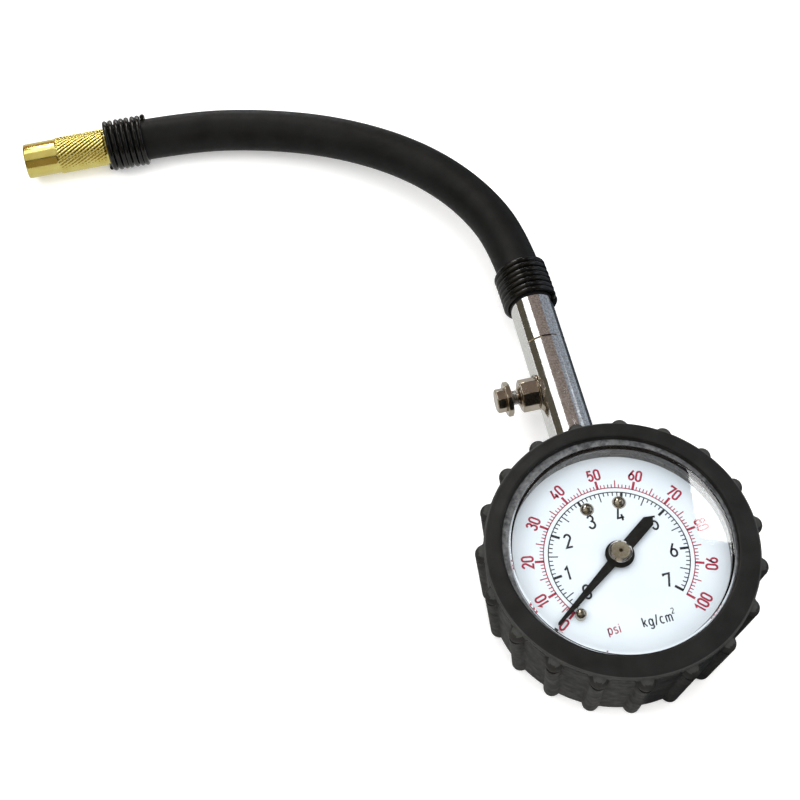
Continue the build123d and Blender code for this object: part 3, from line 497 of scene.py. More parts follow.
class Line:
    """A line through points, read at a distance along it."""

    def __init__(self, points):
        self.points = points
        self.along = [0.0]
        for first, second in zip(points, points[1:]):
            self.along.append(self.along[-1] + (second - first).length)
        self.length = self.along[-1]

    def at(self, distance):
        """The point there and the direction, carried on straight past either end."""
        i = 0
        while i < len(self.along) - 2 and self.along[i + 1] < distance:
            i += 1
        first, second = self.points[i], self.points[i + 1]
        direction = (second - first).normalized()
        return first + direction * (distance - self.along[i]), direction


def tube(name, points, radii, sides=16):
    """A round tube through points, with a radius at each."""
    rings = []
    side = None
    for i, point in enumerate(points):
        ahead = points[min(i + 1, len(points) - 1)] - points[max(i - 1, 0)]
        ahead.normalize()
        if side is None:
            side = ahead.orthogonal().normalized()
        side = (side - ahead * side.dot(ahead)).normalized()
        other = ahead.cross(side)
        for column in range(sides):
            angle = tau * column / sides
            rings.append(point + (side * cos(angle) + other * sin(angle)) * radii[i])
    faces = ring_faces(len(points), sides)
    faces.append(tuple(range(sides)))
    faces.append(tuple(len(rings) - 1 - i for i in range(sides)))
    return new_mesh(name, rings, faces, 50)


hose_line = Line(route_points())
guard_wire = 0.8 * mm
guard_pitch = 1.65 * mm
guard_turns = 7.5


def make_guard(name, start, first_angle, flare, stands_for):
    """A wire wound round the hose, with its first end sprung a little outwards."""
    mean = guard_radius - guard_wire
    flare_turns = 0.12
    steps = int(guard_turns * 44)
    points = []
    for step in range(steps + 1):
        turn = guard_turns * step / steps
        centre, ahead = hose_line.at(start + guard_pitch * turn)
        side = Vector((0, 0, 1)) - ahead * ahead.z
        side.normalize()
        other = ahead.cross(side)
        angle = first_angle + tau * turn
        reach = mean + flare * max(0.0, 1 - turn / flare_turns) ** 2
        wander = 0.10 * mm * sin(2.1 * turn + first_angle)
        points.append(centre + (side * cos(angle) + other * sin(angle)) * reach + ahead * wander)
    radii = [guard_wire] * len(points)
    radii[0] = radii[-1] = guard_wire * 0.8
    return add_piece(name, tube(name, points, radii), "gauge", "guard_wire", stands_for)


# ---- Boot ----
rib_count = 19
rib_phase = 92.8
rib_radius = 2.1
rib_foot_reach = 33.6
rib_head_reach = 36.4
rib_head_z = 27.5
button_radius = 2.4
button_z = 27.5
wall_foot = 31.9
wall_top = 34.3
edge_radius = 34.2
edge_z = 30.4
groove_z = 29.2
groove_dip = 4.3
groove_reach = 2.9
case_bore = 31.0
lip_radius = 28.2
window_pull = 1.9
window_pull_angle = 110
boot_floor = 1.6
stem_hole = 6.3
back_ring = (24.0, 27.5)    # a shallow ring sunk in the back
back_ring_depth = 0.25
foot_reach = 30.4
foot_height = 0.8           # the wall turns in below this
foot_turn = 0.8
rib_foot_turn = 0.35
bead_height = 0.16          # the bead along the groove's lower edge
bead_half = 0.32
groove_profile = ((-0.30, 0.05), (-0.42, 0.16), (-0.32, 0.3), (-0.12, 0.42), (0.0, 0.55))
face_start = 33.0           # the front ring's face runs from here in to the lip
lip_profile = ((0.52, 31.16), (0.22, 31.05), (0.05, 30.85), (0.0, 30.6), (0.0, 29.4))


def fused(first, second, fillet):
    """The larger of two heights, with a fillet where they meet."""
    gap = max(fillet - abs(first - second), 0.0) / fillet
    return max(first, second) + gap * gap * fillet / 4


def round_rib(centre, radius, offset, fallback):
    """How far out a round rib reaches along a ray, this far in radians from its middle."""
    inside = radius**2 - (centre * sin(offset)) ** 2
    return centre * cos(offset) + sqrt(inside) if inside > 0 else fallback


def side_reach(offset, z, above_groove):
    """The boot's outer radius at a height, an angle away from the nearest rib's middle."""
    if above_groove:
        band = wall_top + (edge_radius - wall_top) * (z - groove_z) / (edge_z - groove_z)
        inside = button_radius**2 - (z - button_z) ** 2
        if inside <= 0:
            return band
        ball = round_rib(rib_head_reach - button_radius, sqrt(inside), offset, 0)
        return fused(band, ball, 0.5)
    wall = wall_foot + (wall_top - wall_foot) * z / groove_z
    reach = rib_foot_reach + (rib_head_reach - rib_foot_reach) * z / rib_head_z
    foot = (max(0.0, foot_height - z) / foot_height) ** 2
    rib = round_rib(reach - rib_radius, rib_radius, offset, 0) - rib_foot_turn * foot
    return fused(wall - foot_turn * foot, rib, 0.9)


def boot_column(offset, angle):
    """One upright line of the boot's skin, from the back's middle round to the inside floor.

    The window is stretched wider towards the stem, as a boot pulled on by hand sits.
    """
    lip = lip_radius + window_pull * (1 + cos(angle - radians(window_pull_angle))) / 2
    outwards = offset * wall_top
    dip = groove_dip * max(0.0, 1 - (outwards / groove_reach) ** 2) ** 0.7
    groove = groove_z - dip
    inner, outer = back_ring
    column = [(0, 0), (inner, 0), (inner + 0.3, back_ring_depth), (outer - 0.3, back_ring_depth),
              (outer, 0), (foot_reach, 0)]
    column += [(side_reach(offset, z, False), z) for z in (0.0, 0.03, 0.12, 0.3, 0.55, foot_height)]
    lower_rows = 26
    for row in range(1, lower_rows + 1):
        t = row / lower_rows
        z = foot_height + (groove - foot_height) * (t - 0.08 * sin(pi * t) * cos(pi * t))
        bead = bead_height * max(0.0, 1 - ((groove - z - bead_half) / bead_half) ** 2)
        column.append((side_reach(offset, z, False) + bead, z))
    for depth, rise in groove_profile:
        column.append((side_reach(offset, groove + rise, True) + depth, groove + rise))
    band_start = groove + groove_profile[-1][1]
    upper_rows = 14
    for row in range(1, upper_rows + 1):
        z = band_start + (edge_z - band_start) * row / upper_rows
        column.append((side_reach(offset, z, True), z))
    ring = [(edge_radius - 0.12, edge_z + 0.18), (edge_radius - 0.38, edge_z + 0.32),
            (edge_radius - 0.7, edge_z + 0.38)]
    face_width = lip + 0.8 - face_start
    ring += [(face_start + face_width * i / 8, edge_z + 0.4 + 0.045 * i) for i in range(9)]
    ring += [(lip + out, z) for out, z in lip_profile]
    ring += [(case_bore, lip_profile[-1][1]), (case_bore, boot_floor), (0, boot_floor)]
    return column + ring


def make_boot():
    """The ribbed rubber boot: the groove under the front ring dips round each rib's button."""
    columns = 48
    around = rib_count * columns
    angles = [radians(rib_phase) + tau * column / around for column in range(around)]
    lines = []
    for column, angle in enumerate(angles):
        place = column % columns
        offset = (place if place <= columns / 2 else place - columns) * tau / around
        lines.append(boot_column(offset, angle))
    rows = len(lines[0])
    points = [turned_point(line[row][0], angle, line[row][1])
              for row in range(rows) for line, angle in zip(lines, angles)]
    mesh = new_mesh("boot_shell", points, ring_faces(rows, around), 60)
    paint_zones(mesh, (rubber_wall, rubber_band, rubber_ring),
                lambda reach, z: 2 if z > edge_z + 0.25 else int(z > groove_z and reach > face_start))
    boot = add_piece("boot_shell", mesh, "gauge", "boot_rubber", ["boot"])
    cut_round_hole(boot, axis_frame((0, 20 * mm, stem_z), (0, 1, 0)), stem_hole * mm, 20 * mm)


def cut_round_hole(piece, where, radius, depth):
    """Cuts a round hole, starting at the frame's origin and running along its Z axis."""
    radius, depth = radius / mm, depth / mm
    outline = [(0, 0), (radius, 0), (radius, depth), (0, depth)]
    cutter = add_object("hole_cutter", lathe("hole_cutter", outline, where, 96))
    cut = piece.modifiers.new("hole", "BOOLEAN")
    cut.object = cutter
    cut.solver = "EXACT"
    bpy.context.view_layer.update()
    depsgraph = bpy.context.evaluated_depsgraph_get()
    made = bpy.data.meshes.new_from_object(piece.evaluated_get(depsgraph))
    piece.modifiers.clear()
    piece.data = made
    bpy.data.objects.remove(cutter)


# ---- Lens ----
# The lens's section, as (radius, height): under the window, the skirt, the flange, the front.
lens_outline = [
    (0, 28.6), (20, 28.6), (26.9, 28.6), (27.2, 28.6), (27.8, 28.0), (27.8, 22.8), (29.8, 22.8),
    (29.8, 28.2), (30.8, 28.2), (30.8, 29.4), (28.0, 29.4), (28.0, 30.2), (27.6, 30.6), (27.2, 30.6),
    (20, 30.6), (0, 30.6),
]
skirt_top = 28.5
skirt_inside = 27.5
flange_inside = 28.1


def make_lens():
    """The clear window. Its skirt, down between the dial and the case, is painted dark as shade."""
    mesh = lathe("lens_window", lens_outline, dial_axis, 192, 0.18, 30, closed=False)
    paint_zones(mesh, (finishes["lens_clear"], lens_skirt(), lens_flange()),
                lambda reach, z: (1 if z < skirt_top and reach > skirt_inside
                                  else 2 if reach > flange_inside else 0))
    add_piece("lens_window", mesh, "gauge", "lens_clear", ["lens"])


def lens_flange():
    """The moulded flange under the boot's lip, left frosted by the mould."""
    finish = Finish("lens_flange", (0.16, 0.165, 0.17), 0.3)
    finish.clouds(finish.noise(1.2 * mm, 3), 0.35, 0.7, (0.045, 0.047, 0.05), (0.15, 0.155, 0.16))
    finish.patches(1.5 * mm, 3, 0.2, 0.4)
    return finish.material


def lens_skirt():
    """Painted shade on the skirt, dark, with lighter streaks of painted reflection round the dial."""
    finish = Finish("lens_skirt", (0.02, 0.019, 0.017), 0.3)
    # Painted reflection: lighter streaks over the skirt's painted shade.
    reflection_streak = finish.noise(0.9 * mm, 3, (6, 6, 0.5))
    finish.clouds(reflection_streak, 0.4, 0.75, (0.014, 0.014, 0.013), (0.16, 0.145, 0.125))
    finish.patches(1.5 * mm, 3, 0.2, 0.45)
    return finish.material


# ---- Dial printing ----
scale_radius = 19.0


def on_dial(radius, angle):
    return radius * cos(radians(angle)), radius * sin(radians(angle))


def arc(centre_x, centre_y, reach_x, reach_y, start, end, steps=12):
    points = []
    for step in range(steps + 1):
        angle = radians(start + (end - start) * step / steps)
        points.append((centre_x + reach_x * cos(angle), centre_y + reach_y * sin(angle)))
    return points


def figure_nine():
    return [[(0.5 - x, 1 - y) for x, y in stroke] for stroke in figure_six()]


def figure_six():
    return [arc(0.25, 0.29, 0.24, 0.28, 0, 360, 20), [(0.37, 1.0), (0.2, 0.72), (0.06, 0.46), (0.01, 0.3)]]


# Each character: its width, and the strokes that draw it in a box one unit high.
characters = {
    "0": (0.5, [arc(0.25, 0.76, 0.24, 0.24, 0, 180) + arc(0.25, 0.24, 0.24, 0.24, 180, 360)
                + [(0.49, 0.76)]]),
    "1": (0.4, [[(0.06, 0.76), (0.28, 0.97), (0.28, 0)]]),
    "2": (0.5, [arc(0.25, 0.75, 0.23, 0.25, 170, -25) + [(0.02, 0.02), (0.5, 0.02)]]),
    "3": (0.5, [arc(0.24, 0.765, 0.21, 0.225, 165, -78) + arc(0.24, 0.27, 0.25, 0.27, 78, -165)]),
    "4": (0.5, [[(0.26, 1.0), (0.01, 0.24), (0.52, 0.24)], [(0.37, 0.5), (0.37, 0)]]),
    "5": (0.5, [[(0.46, 0.98), (0.08, 0.98), (0.05, 0.54)] + arc(0.25, 0.32, 0.24, 0.32, 130, -160)]),
    "6": (0.5, figure_six()),
    "7": (0.5, [[(0.01, 0.84), (0.01, 0.98), (0.49, 0.98), (0.2, 0)]]),
    "8": (0.5, [arc(0.25, 0.765, 0.2, 0.225, 0, 360, 20), arc(0.25, 0.27, 0.24, 0.27, 0, 360, 20)]),
    "9": (0.5, figure_nine()),
    "p": (0.5, [[(0.04, 0.7), (0.04, -0.28)], arc(0.26, 0.35, 0.22, 0.35, 0, 360, 20)]),
    "s": (0.44, [arc(0.22, 0.52, 0.19, 0.17, 40, 250) + arc(0.22, 0.18, 0.2, 0.18, 70, -150)]),
    "i": (0.12, [[(0.05, 0.7), (0.05, 0)], [(0.05, 0.97), (0.05, 0.87)]]),
    "k": (0.46, [[(0.04, 1.0), (0.04, 0)], [(0.4, 0.7), (0.06, 0.3)], [(0.16, 0.43), (0.42, 0)]]),
    "g": (0.5, [arc(0.24, 0.36, 0.21, 0.34, 0, 360, 20),
                [(0.46, 0.7), (0.46, -0.1)] + arc(0.25, -0.1, 0.21, 0.2, 0, -150)]),
    "/": (0.34, [[(0.3, 1.04), (0.02, -0.06)]]),
    "c": (0.46, [arc(0.25, 0.35, 0.22, 0.35, 50, 310, 18)]),
    "m": (0.74, [[(0.04, 0.7), (0.04, 0)], [(0.04, 0.46)] + arc(0.2, 0.5, 0.16, 0.2, 160, 0) + [(0.36, 0)],
                 [(0.36, 0.46)] + arc(0.53, 0.5, 0.17, 0.2, 160, 0) + [(0.7, 0)]]),
}


def ribbon(points, width):
    """The flat outline of a stroke: points on both sides of it, and the quads between."""
    line = [Vector(point) for point in points]
    closed = (line[0] - line[-1]).length < 1e-6
    if closed:
        line.pop()
    edges = []
    count = len(line)
    for i, point in enumerate(line):
        back = line[i - 1] if closed or i else None
        ahead = line[(i + 1) % count] if closed or i < count - 1 else None
        into = (point - back).normalized() if back is not None else (ahead - point).normalized()
        out = (ahead - point).normalized() if ahead is not None else into
        bisector = (into + out).normalized()
        normal = Vector((-bisector.y, bisector.x))
        stretch = 1 / max(0.45, bisector.dot(into))
        edges.append((point + normal * width / 2 * stretch, point - normal * width / 2 * stretch))
    corners = [corner for pair in edges for corner in pair]
    quads = []
    for i in range(count if closed else count - 1):
        j = (i + 1) % count
        quads.append((2 * i, 2 * i + 1, 2 * j + 1, 2 * j))
    return corners, quads


class Print:
    """Flat ink on the dial, in units of the scale's radius."""

    def __init__(self):
        self.points = []
        self.faces = []

    def stroke(self, points, width):
        corners, quads = ribbon(points, width)
        start = len(self.points)
        self.points += [Vector((x, y, 0)) for x, y in corners]
        self.faces += [tuple(start + i for i in quad) for quad in quads]

    def text(self, letters, height, centre, turned=0.0, weight=0.19):
        """Letters of this height, in a row with its middle at the centre."""
        space, widen = 0.2, 0.9
        widths = [characters[letter][0] * widen for letter in letters]
        total = sum(widths) + space * (len(letters) - 1)
        place = Matrix.Translation((*centre, 0)) @ Matrix.Rotation(radians(turned), 4, "Z")
        across = -total / 2
        for letter, width in zip(letters, widths):
            for stroke in characters[letter][1]:
                flat = [Vector((across + x * widen, y - 0.5, 0)) * height for x, y in stroke]
                self.stroke([(place @ point).xy for point in flat], weight * height)
            across += width + space

    def ray(self, angle, start, end, width):
        self.stroke([on_dial(start, angle), on_dial(end, angle)], width)

    def ticks(self, marks, angle, kinds):
        """A tick at each mark, of the first kind whose step divides it."""
        for mark in marks:
            start, end, width = next(size for step, size in kinds if mark % step == 0)
            self.ray(angle(mark), start, end, width)

    def ring(self, radius, start, end, width):
        self.stroke(arc(0, 0, radius, radius, start, end, 160), width)

    def add(self, name, ink, lift):
        scale = scale_radius * mm
        points = [(p.x * scale, p.y * scale, dial_z + lift * mm) for p in self.points]
        mesh = bpy.data.meshes.new(name)
        mesh.from_pydata(points, [], self.faces)
        work = bmesh.new()
        work.from_mesh(mesh)
        bmesh.ops.recalc_face_normals(work, faces=work.faces)
        for face in work.faces:
            if face.normal.z < 0:
                face.normal_flip()
        work.to_mesh(mesh)
        work.free()
        add_piece(name, mesh, "gauge", finish=ink)


zero_angle = 218.2


def psi_angle(pressure):
    """Angle of a psi mark. The first five are squeezed up against the zero stop."""
    if pressure >= 5:
        return 225 - 2.7 * pressure
    return zero_angle + (211.5 - zero_angle) * pressure / 5


def kilo_angle(pressure):
    return min(225 - 38.4 * pressure, zero_angle)


def print_psi_scale():
    ink = Print()
    ink.ring(1.0, zero_angle + 0.2, psi_angle(100) - 0.6, 0.014)
    ink.ticks(range(101), psi_angle,
              [(10, (0.994, 1.12, 0.034)), (5, (1.0, 1.11, 0.016)), (1, (1.0, 1.052, 0.014))])
    for pressure in range(10, 100, 10):
        angle = psi_angle(pressure)
        ink.text(str(pressure), 0.146, on_dial(1.215, angle), angle - 90)
    ink.text("0", 0.146, on_dial(1.228, 218), 218 - 90)
    ink.text("100", 0.146, on_dial(1.235, -44.6), 45.4)
    ink.text("psi", 0.122, (-0.358, -0.955), 0, 0.13)
    ink.add("psi_scale_print", red_ink, 0.02)


kilo_figures = [(-0.551, -0.383), (-0.728, -0.075), (-0.597, 0.364), (-0.220, 0.560), (0.183, 0.579),
                (0.594, 0.355), (0.722, -0.075), (0.523, -0.467)]


def print_kilo_scale():
    ink = Print()
    ink.ring(0.935, zero_angle, kilo_angle(7) - 0.9, 0.015)
    ink.ticks(range(2, 71), lambda tenth: kilo_angle(tenth / 10),
              [(10, (0.816, 0.941, 0.036)), (5, (0.806, 0.935, 0.016)), (1, (0.88, 0.935, 0.015))])
    for figure, centre in enumerate(kilo_figures):
        ink.text(str(figure), 0.187, centre, 0, 0.15)
    ink.text("kg/cm", 0.13, (0.225, -0.955), 0, 0.14)
    ink.text("2", 0.075, (0.452, -0.885), 0, 0.15)
    ink.add("kilo_scale_print", black_ink, 0.015)


# ---- Pointer and its cap ----
pointer_angle = 216.0
boss_radius = 3.7
needle_length = 24.8
needle_tip_half = 0.4
needle_root_half = 1.2
tail_length = 13.7
tail_shoulder = 11.9
tail_half = 1.55
plate_thick = 0.4


def plate(name, outline, low, high, edge):
    """A flat plate from an outline in millimetres, with its edges rounded over."""
    count = len(outline)
    points = [Vector((x, y, z)) * mm for z in (low, high) for x, y in outline]
    faces = [tuple(range(count)), tuple(range(count, 2 * count))]
    faces += [(i, (i + 1) % count, count + (i + 1) % count, count + i) for i in range(count)]
    mesh = new_mesh(name, points, faces, 40)
    bevel_edges(mesh, edge, 60, lambda e: abs(e.verts[0].co.z - e.verts[1].co.z) < 1e-7)
    smooth(mesh, 40)
    return mesh


def make_pointer():
    """The needle, boss and arrow-shaped tail, cut from one sheet."""
    needle_side = degrees(asin(needle_root_half / boss_radius))
    tail_side = degrees(asin(tail_half / boss_radius))
    tip_start = needle_length - needle_tip_half
    outline = [(tip_start, -needle_tip_half), (needle_length, 0), (tip_start, needle_tip_half)]
    outline += arc(0, 0, boss_radius, boss_radius, needle_side, 180 - tail_side, 18)
    outline += [(-tail_shoulder, tail_half), (-tail_length, 0), (-tail_shoulder, -tail_half)]
    outline += arc(0, 0, boss_radius, boss_radius, 180 + tail_side, 360 - needle_side, 18)
    at = Matrix.Rotation(radians(pointer_angle), 2)
    turned = [at @ Vector(point) for point in outline]
    low = pointer_top_z / mm - 1.0
    mesh = plate("pointer_blade", turned, low, low + plate_thick, 0.08)
    add_piece("pointer_blade", mesh, "pointer", "pointer_black", ["pointer"])
    bore, hub_radius = 1.0, 2.4
    hub_outline = [(bore, low - 0.9), (hub_radius, low - 0.9), (hub_radius, low + 1.0), (bore, low + 1.0)]
    add_piece("pointer_hub", lathe("pointer_hub", hub_outline, dial_axis, 72, 0.1), "pointer",
              "bright_steel")


def make_pointer_cap():
    """The turned nickel cap: a bevelled button with a small centre drilling."""
    low, high = cap_low.z / mm, cap_high.z / mm
    edge, face = 2.95, 2.3
    outline = [(0.9, low), (edge - 0.1, low), (edge, low + 0.1), (edge, high - 0.62), (face, high),
               (0.55, high), (0.4, high - 0.12), (0.3, high - 0.35), (0, high - 0.42)]
    mesh = lathe("pointer_button", outline, dial_axis, 96, 0.12, 40, closed=False)
    add_piece("pointer_button", mesh, "pointer", "nickel", ["pointer_cap"], cap_nickel())


def cap_nickel():
    """A dull faced top inside a polished bevel, with painted shade, dark brown, in the drilling."""
    finish = Finish("cap_nickel", (0.7, 0.62, 0.52), 0.2, 1.0)
    split = finish.node("ShaderNodeSeparateXYZ", {"Vector": finish.place})
    flat = finish.node("ShaderNodeCombineXYZ", {"X": split.outputs["X"], "Y": split.outputs["Y"]})
    reach = finish.node("ShaderNodeVectorMath", {0: flat.outputs[0]}, operation="LENGTH").outputs["Value"]
    rings = finish.node("ShaderNodeMath", {0: reach, 1: 1 / (0.05 * mm)}, operation="MULTIPLY")
    wave = finish.node("ShaderNodeMath", {0: rings.outputs[0]}, operation="SINE")
    bevel = finish.ramp(reach, 0, 1, 2.2 * mm, 2.34 * mm)
    cloud = finish.ramp(finish.noise(0.5 * mm, 4), 0, 1, 0.35, 0.65)
    face = finish.mix(cloud, (0.46, 0.41, 0.31), (0.36, 0.31, 0.22))
    # Painted shade: the centre drilling is painted dark brown.
    face = finish.mix(finish.ramp(reach, 0, 1, 0.4 * mm, 0.6 * mm), (0.06, 0.035, 0.015), face)
    finish.colour(finish.mix(bevel, face, (0.86, 0.8, 0.74)))
    finish.roughness(finish.ramp(bevel, 0.34, 0.07))
    finish.bump(wave.outputs[0], 0.001 * mm, 0.3)
    return finish.material


# ---- Bleed valve ----
def faceted_outline(across_flats, sides=8, per_side=8):
    """Points round a regular outline with a flat facing up, several on each side."""
    reach = across_flats / 2 / cos(pi / sides)
    turns = [tau * (i + 0.5) / sides for i in range(sides)]
    corners = [Vector((cos(turn), sin(turn))) * reach for turn in turns]
    points = []
    for i in range(sides):
        points += [corners[i].lerp(corners[(i + 1) % sides], step / per_side) for step in range(per_side)]
    return points, reach


def faceted_bar(name, across_flats, start, end, where, edge):
    """An eight-sided bar whose ends are turned back at the corners."""
    fine, reach = faceted_outline(across_flats)
    rows = []
    for height, turned_back in ((start, True), (start + edge, False), (end - edge, False), (end, True)):
        ring = []
        for point in fine:
            over = max(0.0, point.length - (reach - 1.7 * edge)) if turned_back else 0.0
            ring.append((point.normalized() * (point.length - over), height))
        rows.append(ring)
    inner_start = [(point * 0.2, height) for point, height in rows[0]]
    inner_end = [(point * 0.2, height) for point, height in rows[-1]]
    rows = [inner_start, *rows, inner_end]
    points = [where @ (Vector((p.x, p.y, height)) * mm) for ring in rows for p, height in ring]
    count = len(fine)
    faces = ring_faces(len(rows), count)
    faces.append(tuple(range(count)))
    faces.append(tuple(len(points) - count + i for i in range(count)))
    mesh = new_mesh(name, points, faces, 20)
    bevel_edges(mesh, 0.09, 20, clamp_overlap=True)
    smooth(mesh, 60)
    for face in mesh.polygons:
        face.use_smooth = face.area < 0.3 * mm**2     # the large facets stay flat
    return mesh


def copied_node(name, node, finish):
    """A piece with a CAD node's own shape, for a node that changes shape as it works."""
    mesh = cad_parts[node].data.copy()
    mesh.transform(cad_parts[node].matrix_world)
    mesh.materials.clear()
    mesh.materials.append(finishes[finish])
    piece = add_object(name, mesh)
    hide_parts(node)
    return piece


def make_springy_pieces():
    """The button's spring shortens as it is pressed, and the tube's free end follows its tip."""
    spring = copied_node("button_spring", "bleed_spring", "bright_steel")
    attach(spring, "gauge")
    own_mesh(spring)
    spring_tube = copied_node("spring_tube", "bourdon_tube", "bourdon_bronze")
    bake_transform(spring_tube)


def make_bleed_valve():
    """Eight-sided body on its washer, and the eight-sided flange and cap of the button."""
    barrel_length, nose_length = 4.9, 5.5
    flange_start, flange_end = 13.3, 14.8
    cap_across, cap_end = 6.2, 17.4
    across = (body_high.z - body_low.z) / mm
    flange_across = (button_high.z - button_low.z) / mm
    washer_radius = (washer_high.z - washer_low.z) / 2 / mm
    start = -washer_low.x / mm
    body = faceted_bar("bleed_barrel", across, start, start + barrel_length, bleed_axis, 0.25)
    add_piece("bleed_barrel", body, "gauge", "nickel", ["bleed_body"])
    outline = [(0, start + barrel_length - 0.1), (3.1, start + barrel_length - 0.1), (3.0, start + 5.0),
               (2.4, start + nose_length), (0, start + nose_length)]
    nose = lathe("bleed_nose", outline, bleed_axis, 64, 0.1, closed=False)
    add_piece("bleed_nose", nose, "gauge", "nickel")
    outline = [(3.0, 5.0), (washer_radius, 5.0), (washer_radius, start), (3.0, start)]
    add_piece("bleed_ring", lathe("bleed_ring", outline, bleed_axis, 96, 0.14), "gauge", "nickel",
              ["bleed_washer"])
    flange = faceted_bar("button_flange", flange_across, flange_start, flange_end, bleed_axis, 0.2)
    add_piece("button_flange", flange, "bleed_button", "nickel", ["bleed_button"])
    cap = faceted_bar("button_cap", cap_across, flange_end - 0.1, cap_end, bleed_axis, 0.25)
    add_piece("button_cap", cap, "bleed_button", "nickel")


# ---- Chuck nut ----
knurl_count = 31
knurl_pitch = 2.0
knurl_end = 125.0
mouth_radius = 3.95
mouth_floor = 123.9
nut_bore = 3.3
nut_web = 118.0


def knurl_height(along, turn):
    """Long slanted ridges, crossed by shallower ones the other way."""
    first = along / knurl_pitch + turn * knurl_count
    second = along / knurl_pitch - turn * knurl_count
    return 0.2 * abs(sin(pi * first)) ** 0.8 - 0.07 * (1 - abs(sin(pi * second)) ** 0.5)


def make_chuck_nut():
    """The swivel nut: a knurled grip, a shoulder, and a plain nose with a chamfered mouth."""
    rear, mouth = -nut_high.x / mm, -nut_low.x / mm
    grip = (nut_high.z - nut_low.z) / 2 / mm
    nose = grip - 0.45
    knurl_start = rear + 0.6
    columns = knurl_count * 10
    outline = [(nut_bore, rear, 0), (grip - 0.5, rear, 0), (grip - 0.3, rear + 0.2, 0)]
    steps = 110
    for step in range(steps + 1):
        along = knurl_start + (knurl_end - knurl_start) * step / steps
        fade = min(1.0, (along - knurl_start) / 0.5, (knurl_end - along) / 0.5)
        outline.append((grip - 0.3, along, fade))
    outline += [(nose + 0.02, knurl_end + 0.15, 0), (nose, knurl_end + 0.4, 0), (nose, mouth - 0.45, 0),
                (nose - 0.1, mouth - 0.12, 0), (nose - 0.25, mouth, 0), (mouth_radius + 0.3, mouth, 0),
                (mouth_radius + 0.1, mouth - 0.15, 0), (mouth_radius, mouth - 0.4, 0),
                (mouth_radius, mouth_floor, 0), (nut_bore, mouth_floor, 0), (nut_bore, nut_web, 0)]
    points = []
    for radius, along, fade in outline:
        for column in range(columns):
            reach = radius + fade * knurl_height(along, column / columns)
            points.append(chuck_axis @ turned_point(reach, tau * column / columns, along))
    mesh = new_mesh("swivel_nut", points, ring_faces(len(outline), columns, closed=True), 40)
    return add_piece("swivel_nut", mesh, "chuck_nut", "chuck_brass", ["chuck_nut"])


# ---- Floor and light ----
def add_area_light(name, position, target, size, power):
    lamp = bpy.data.lights.new(name, "AREA")
    lamp.shape = "RECTANGLE"
    lamp.size, lamp.size_y = size
    lamp.energy = power
    light = add_object(name, lamp)
    light.location = position
    light.rotation_euler = (Vector(target) - Vector(position)).to_track_quat("-Z", "Y").to_euler()
    light.visible_camera = False
    light.visible_glossy = False
    light.visible_transmission = False


def add_floor():
    finish = Finish("floor_paper", (0.93, 0.93, 0.93), 0.9)
    finish.clouds(finish.noise(0.2, 3), 0.3, 0.7, (0.92, 0.92, 0.92), (0.94, 0.94, 0.94))
    finish.set(Specular_IOR_Level=0.0, Emission_Color=(1, 1, 1, 1), Emission_Strength=0.3)
    mesh = bpy.data.meshes.new("floor")
    half = 3.0
    corners = [(-half, -half, 0), (half, -half, 0), (half, half, 0), (-half, half, 0)]
    mesh.from_pydata(corners, [], [(0, 1, 2, 3)])
    mesh.materials.append(finish.material)
    floor = add_object("floor", mesh)
    floor.location.z = cad_box[0].z


def glow_card(name, corners, strength, colour=(1, 1, 1)):
    """A lit card that shows only in reflections."""
    mesh = bpy.data.meshes.new(name)
    mesh.from_pydata(corners, [], [(0, 1, 2, 3)])
    material = bpy.data.materials.new(name)
    material.use_nodes = True
    nodes = material.node_tree.nodes
    nodes.clear()
    glow = nodes.new("ShaderNodeEmission")
    glow.inputs["Strength"].default_value = strength
    glow.inputs["Color"].default_value = (*colour, 1)
    output = nodes.new("ShaderNodeOutputMaterial")
    material.node_tree.links.new(glow.outputs[0], output.inputs["Surface"])
    mesh.materials.append(material)
    card = add_object(name, mesh)
    card.visible_camera = False
    card.visible_diffuse = False
    card.visible_shadow = False


def mirrored_in_lens(x, y, distance):
    """The place whose mirror image the camera sees at this point of the lens, in millimetres."""
    image = camera.location.copy()
    image.z = 2 * lens_front_z - image.z
    spot = Vector((x * mm, y * mm, lens_front_z))
    return spot + (spot - image).normalized() * distance


def overhead_card(name, first, last, low, high, height, strength, colour=(1, 1, 1)):
    """A level card over the object, between two leans to the side and two distances away."""
    left, right = height * tan(radians(first)), height * tan(radians(last))
    corners = [(left, low, height), (right, low, height), (right, high, height), (left, high, height)]
    glow_card(name, corners, strength, colour)


def side_card(name, x, near, far, low, high, colour):
    """An upright card beside the object, running front to back."""
    glow_card(name, [(x, near, low), (x, far, low), (x, far, high), (x, near, high)], 1, colour)


def cross_card(name, y, left, right, low, high, strength, colour=(1, 1, 1)):
    """An upright card in front of the object or behind it, running left to right."""
    glow_card(name, [(left, y, low), (right, y, low), (right, y, high), (left, y, high)], strength, colour)


def level_card(name, left, right, colour):
    """A card lying just over the floor, which dims the floor in reflections."""
    z = cad_box[0].z + 0.2 * mm
    glow_card(name, [(left, -0.5, z), (right, -0.5, z), (right, 0.6, z), (left, 0.6, z)], 1, colour)


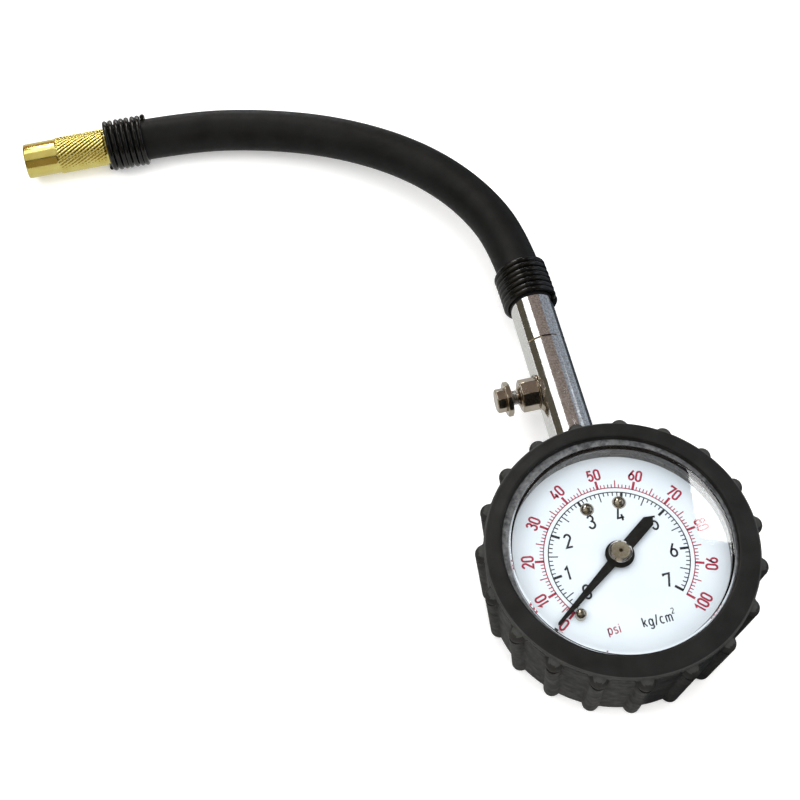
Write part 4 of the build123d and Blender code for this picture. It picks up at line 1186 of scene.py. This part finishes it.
def add_lights():
    world = bpy.data.worlds.new("studio")
    world.use_nodes = True
    world.node_tree.nodes["Background"].inputs["Color"].default_value = (0.085, 0.075, 0.055, 1)
    bpy.context.scene.world = world
    middle = Vector((-0.03, 0.06, 0))
    add_area_light("overhead_cloth", middle + Vector((0, 0, 1.6)), middle, (3.5, 3.5), 86)
    add_area_light("key", (-0.9, 0.0, 1.1), middle, (0.35, 0.35), 2.2)
    overhead_card("softbox", -48, -16, 0.55, 1.25, 1.2, 1.9)
    overhead_card("ceiling", -16, 42, 0.55, 1.25, 1.25, 1, (0.26, 0.215, 0.19))
    overhead_card("front_cloth", -60, -5, -0.6, 0.55, 1.2, 1, (0.6, 0.57, 0.48))
    side_card("right_wall", 0.5, -0.3, 0.5, 0.0, 0.57, (0.3, 0.33, 0.38))
    side_card("right_light", 0.49, -0.3, 0.34, 0.24, 0.44, (0.75, 0.8, 0.86))
    level_card("floor_left", -0.5, 0.0, (0.62, 0.62, 0.6))
    level_card("floor_shade", 0.0, 0.05, (0.05, 0.06, 0.07))
    level_card("floor_right", 0.05, 0.5, (0.34, 0.38, 0.43))
    cross_card("dark_front", -0.6, -0.05, 0.6, 0.02, 0.6, 1, (0.014, 0.011, 0.009))
    cross_card("warm_front", -0.6, -0.7, -0.05, 0.02, 0.9, 1, (0.26, 0.2, 0.11))
    cross_card("back_window", 0.9, -0.14, 0.15, 0.03, 0.13, 6)
    cross_card("back_strip", 1.1, -0.45, -0.12, 0.6, 1.1, 9, (1, 0.97, 0.9))
    cross_card("warm_back", 1.1, -0.7, -0.15, 0.02, 0.5, 1, (0.4, 0.24, 0.15))
    corners = [(23.3, 24), (19.3, -2), (48, -16), (48, 30)]
    glow_card("window_glare", [mirrored_in_lens(x, y, 1.2) for x, y in corners], 9)


# ---- Build ----
hose = make_hose()
stem_guard = make_guard("stem_coil", 0.1 * mm, 1.2, 0.0, ["stem_guard"])
chuck_guard = make_guard("chuck_coil", hose_line.length - 10.9 * mm, 0.6, 0.25 * mm, ["chuck_guard"])
nut = make_chuck_nut()
make_boot()
make_lens()
print_psi_scale()
print_kilo_scale()
make_pointer()
make_pointer_cap()
make_bleed_valve()
make_springy_pieces()
add_floor()
add_lights()
bpy.context.scene.view_settings.view_transform = "Standard"
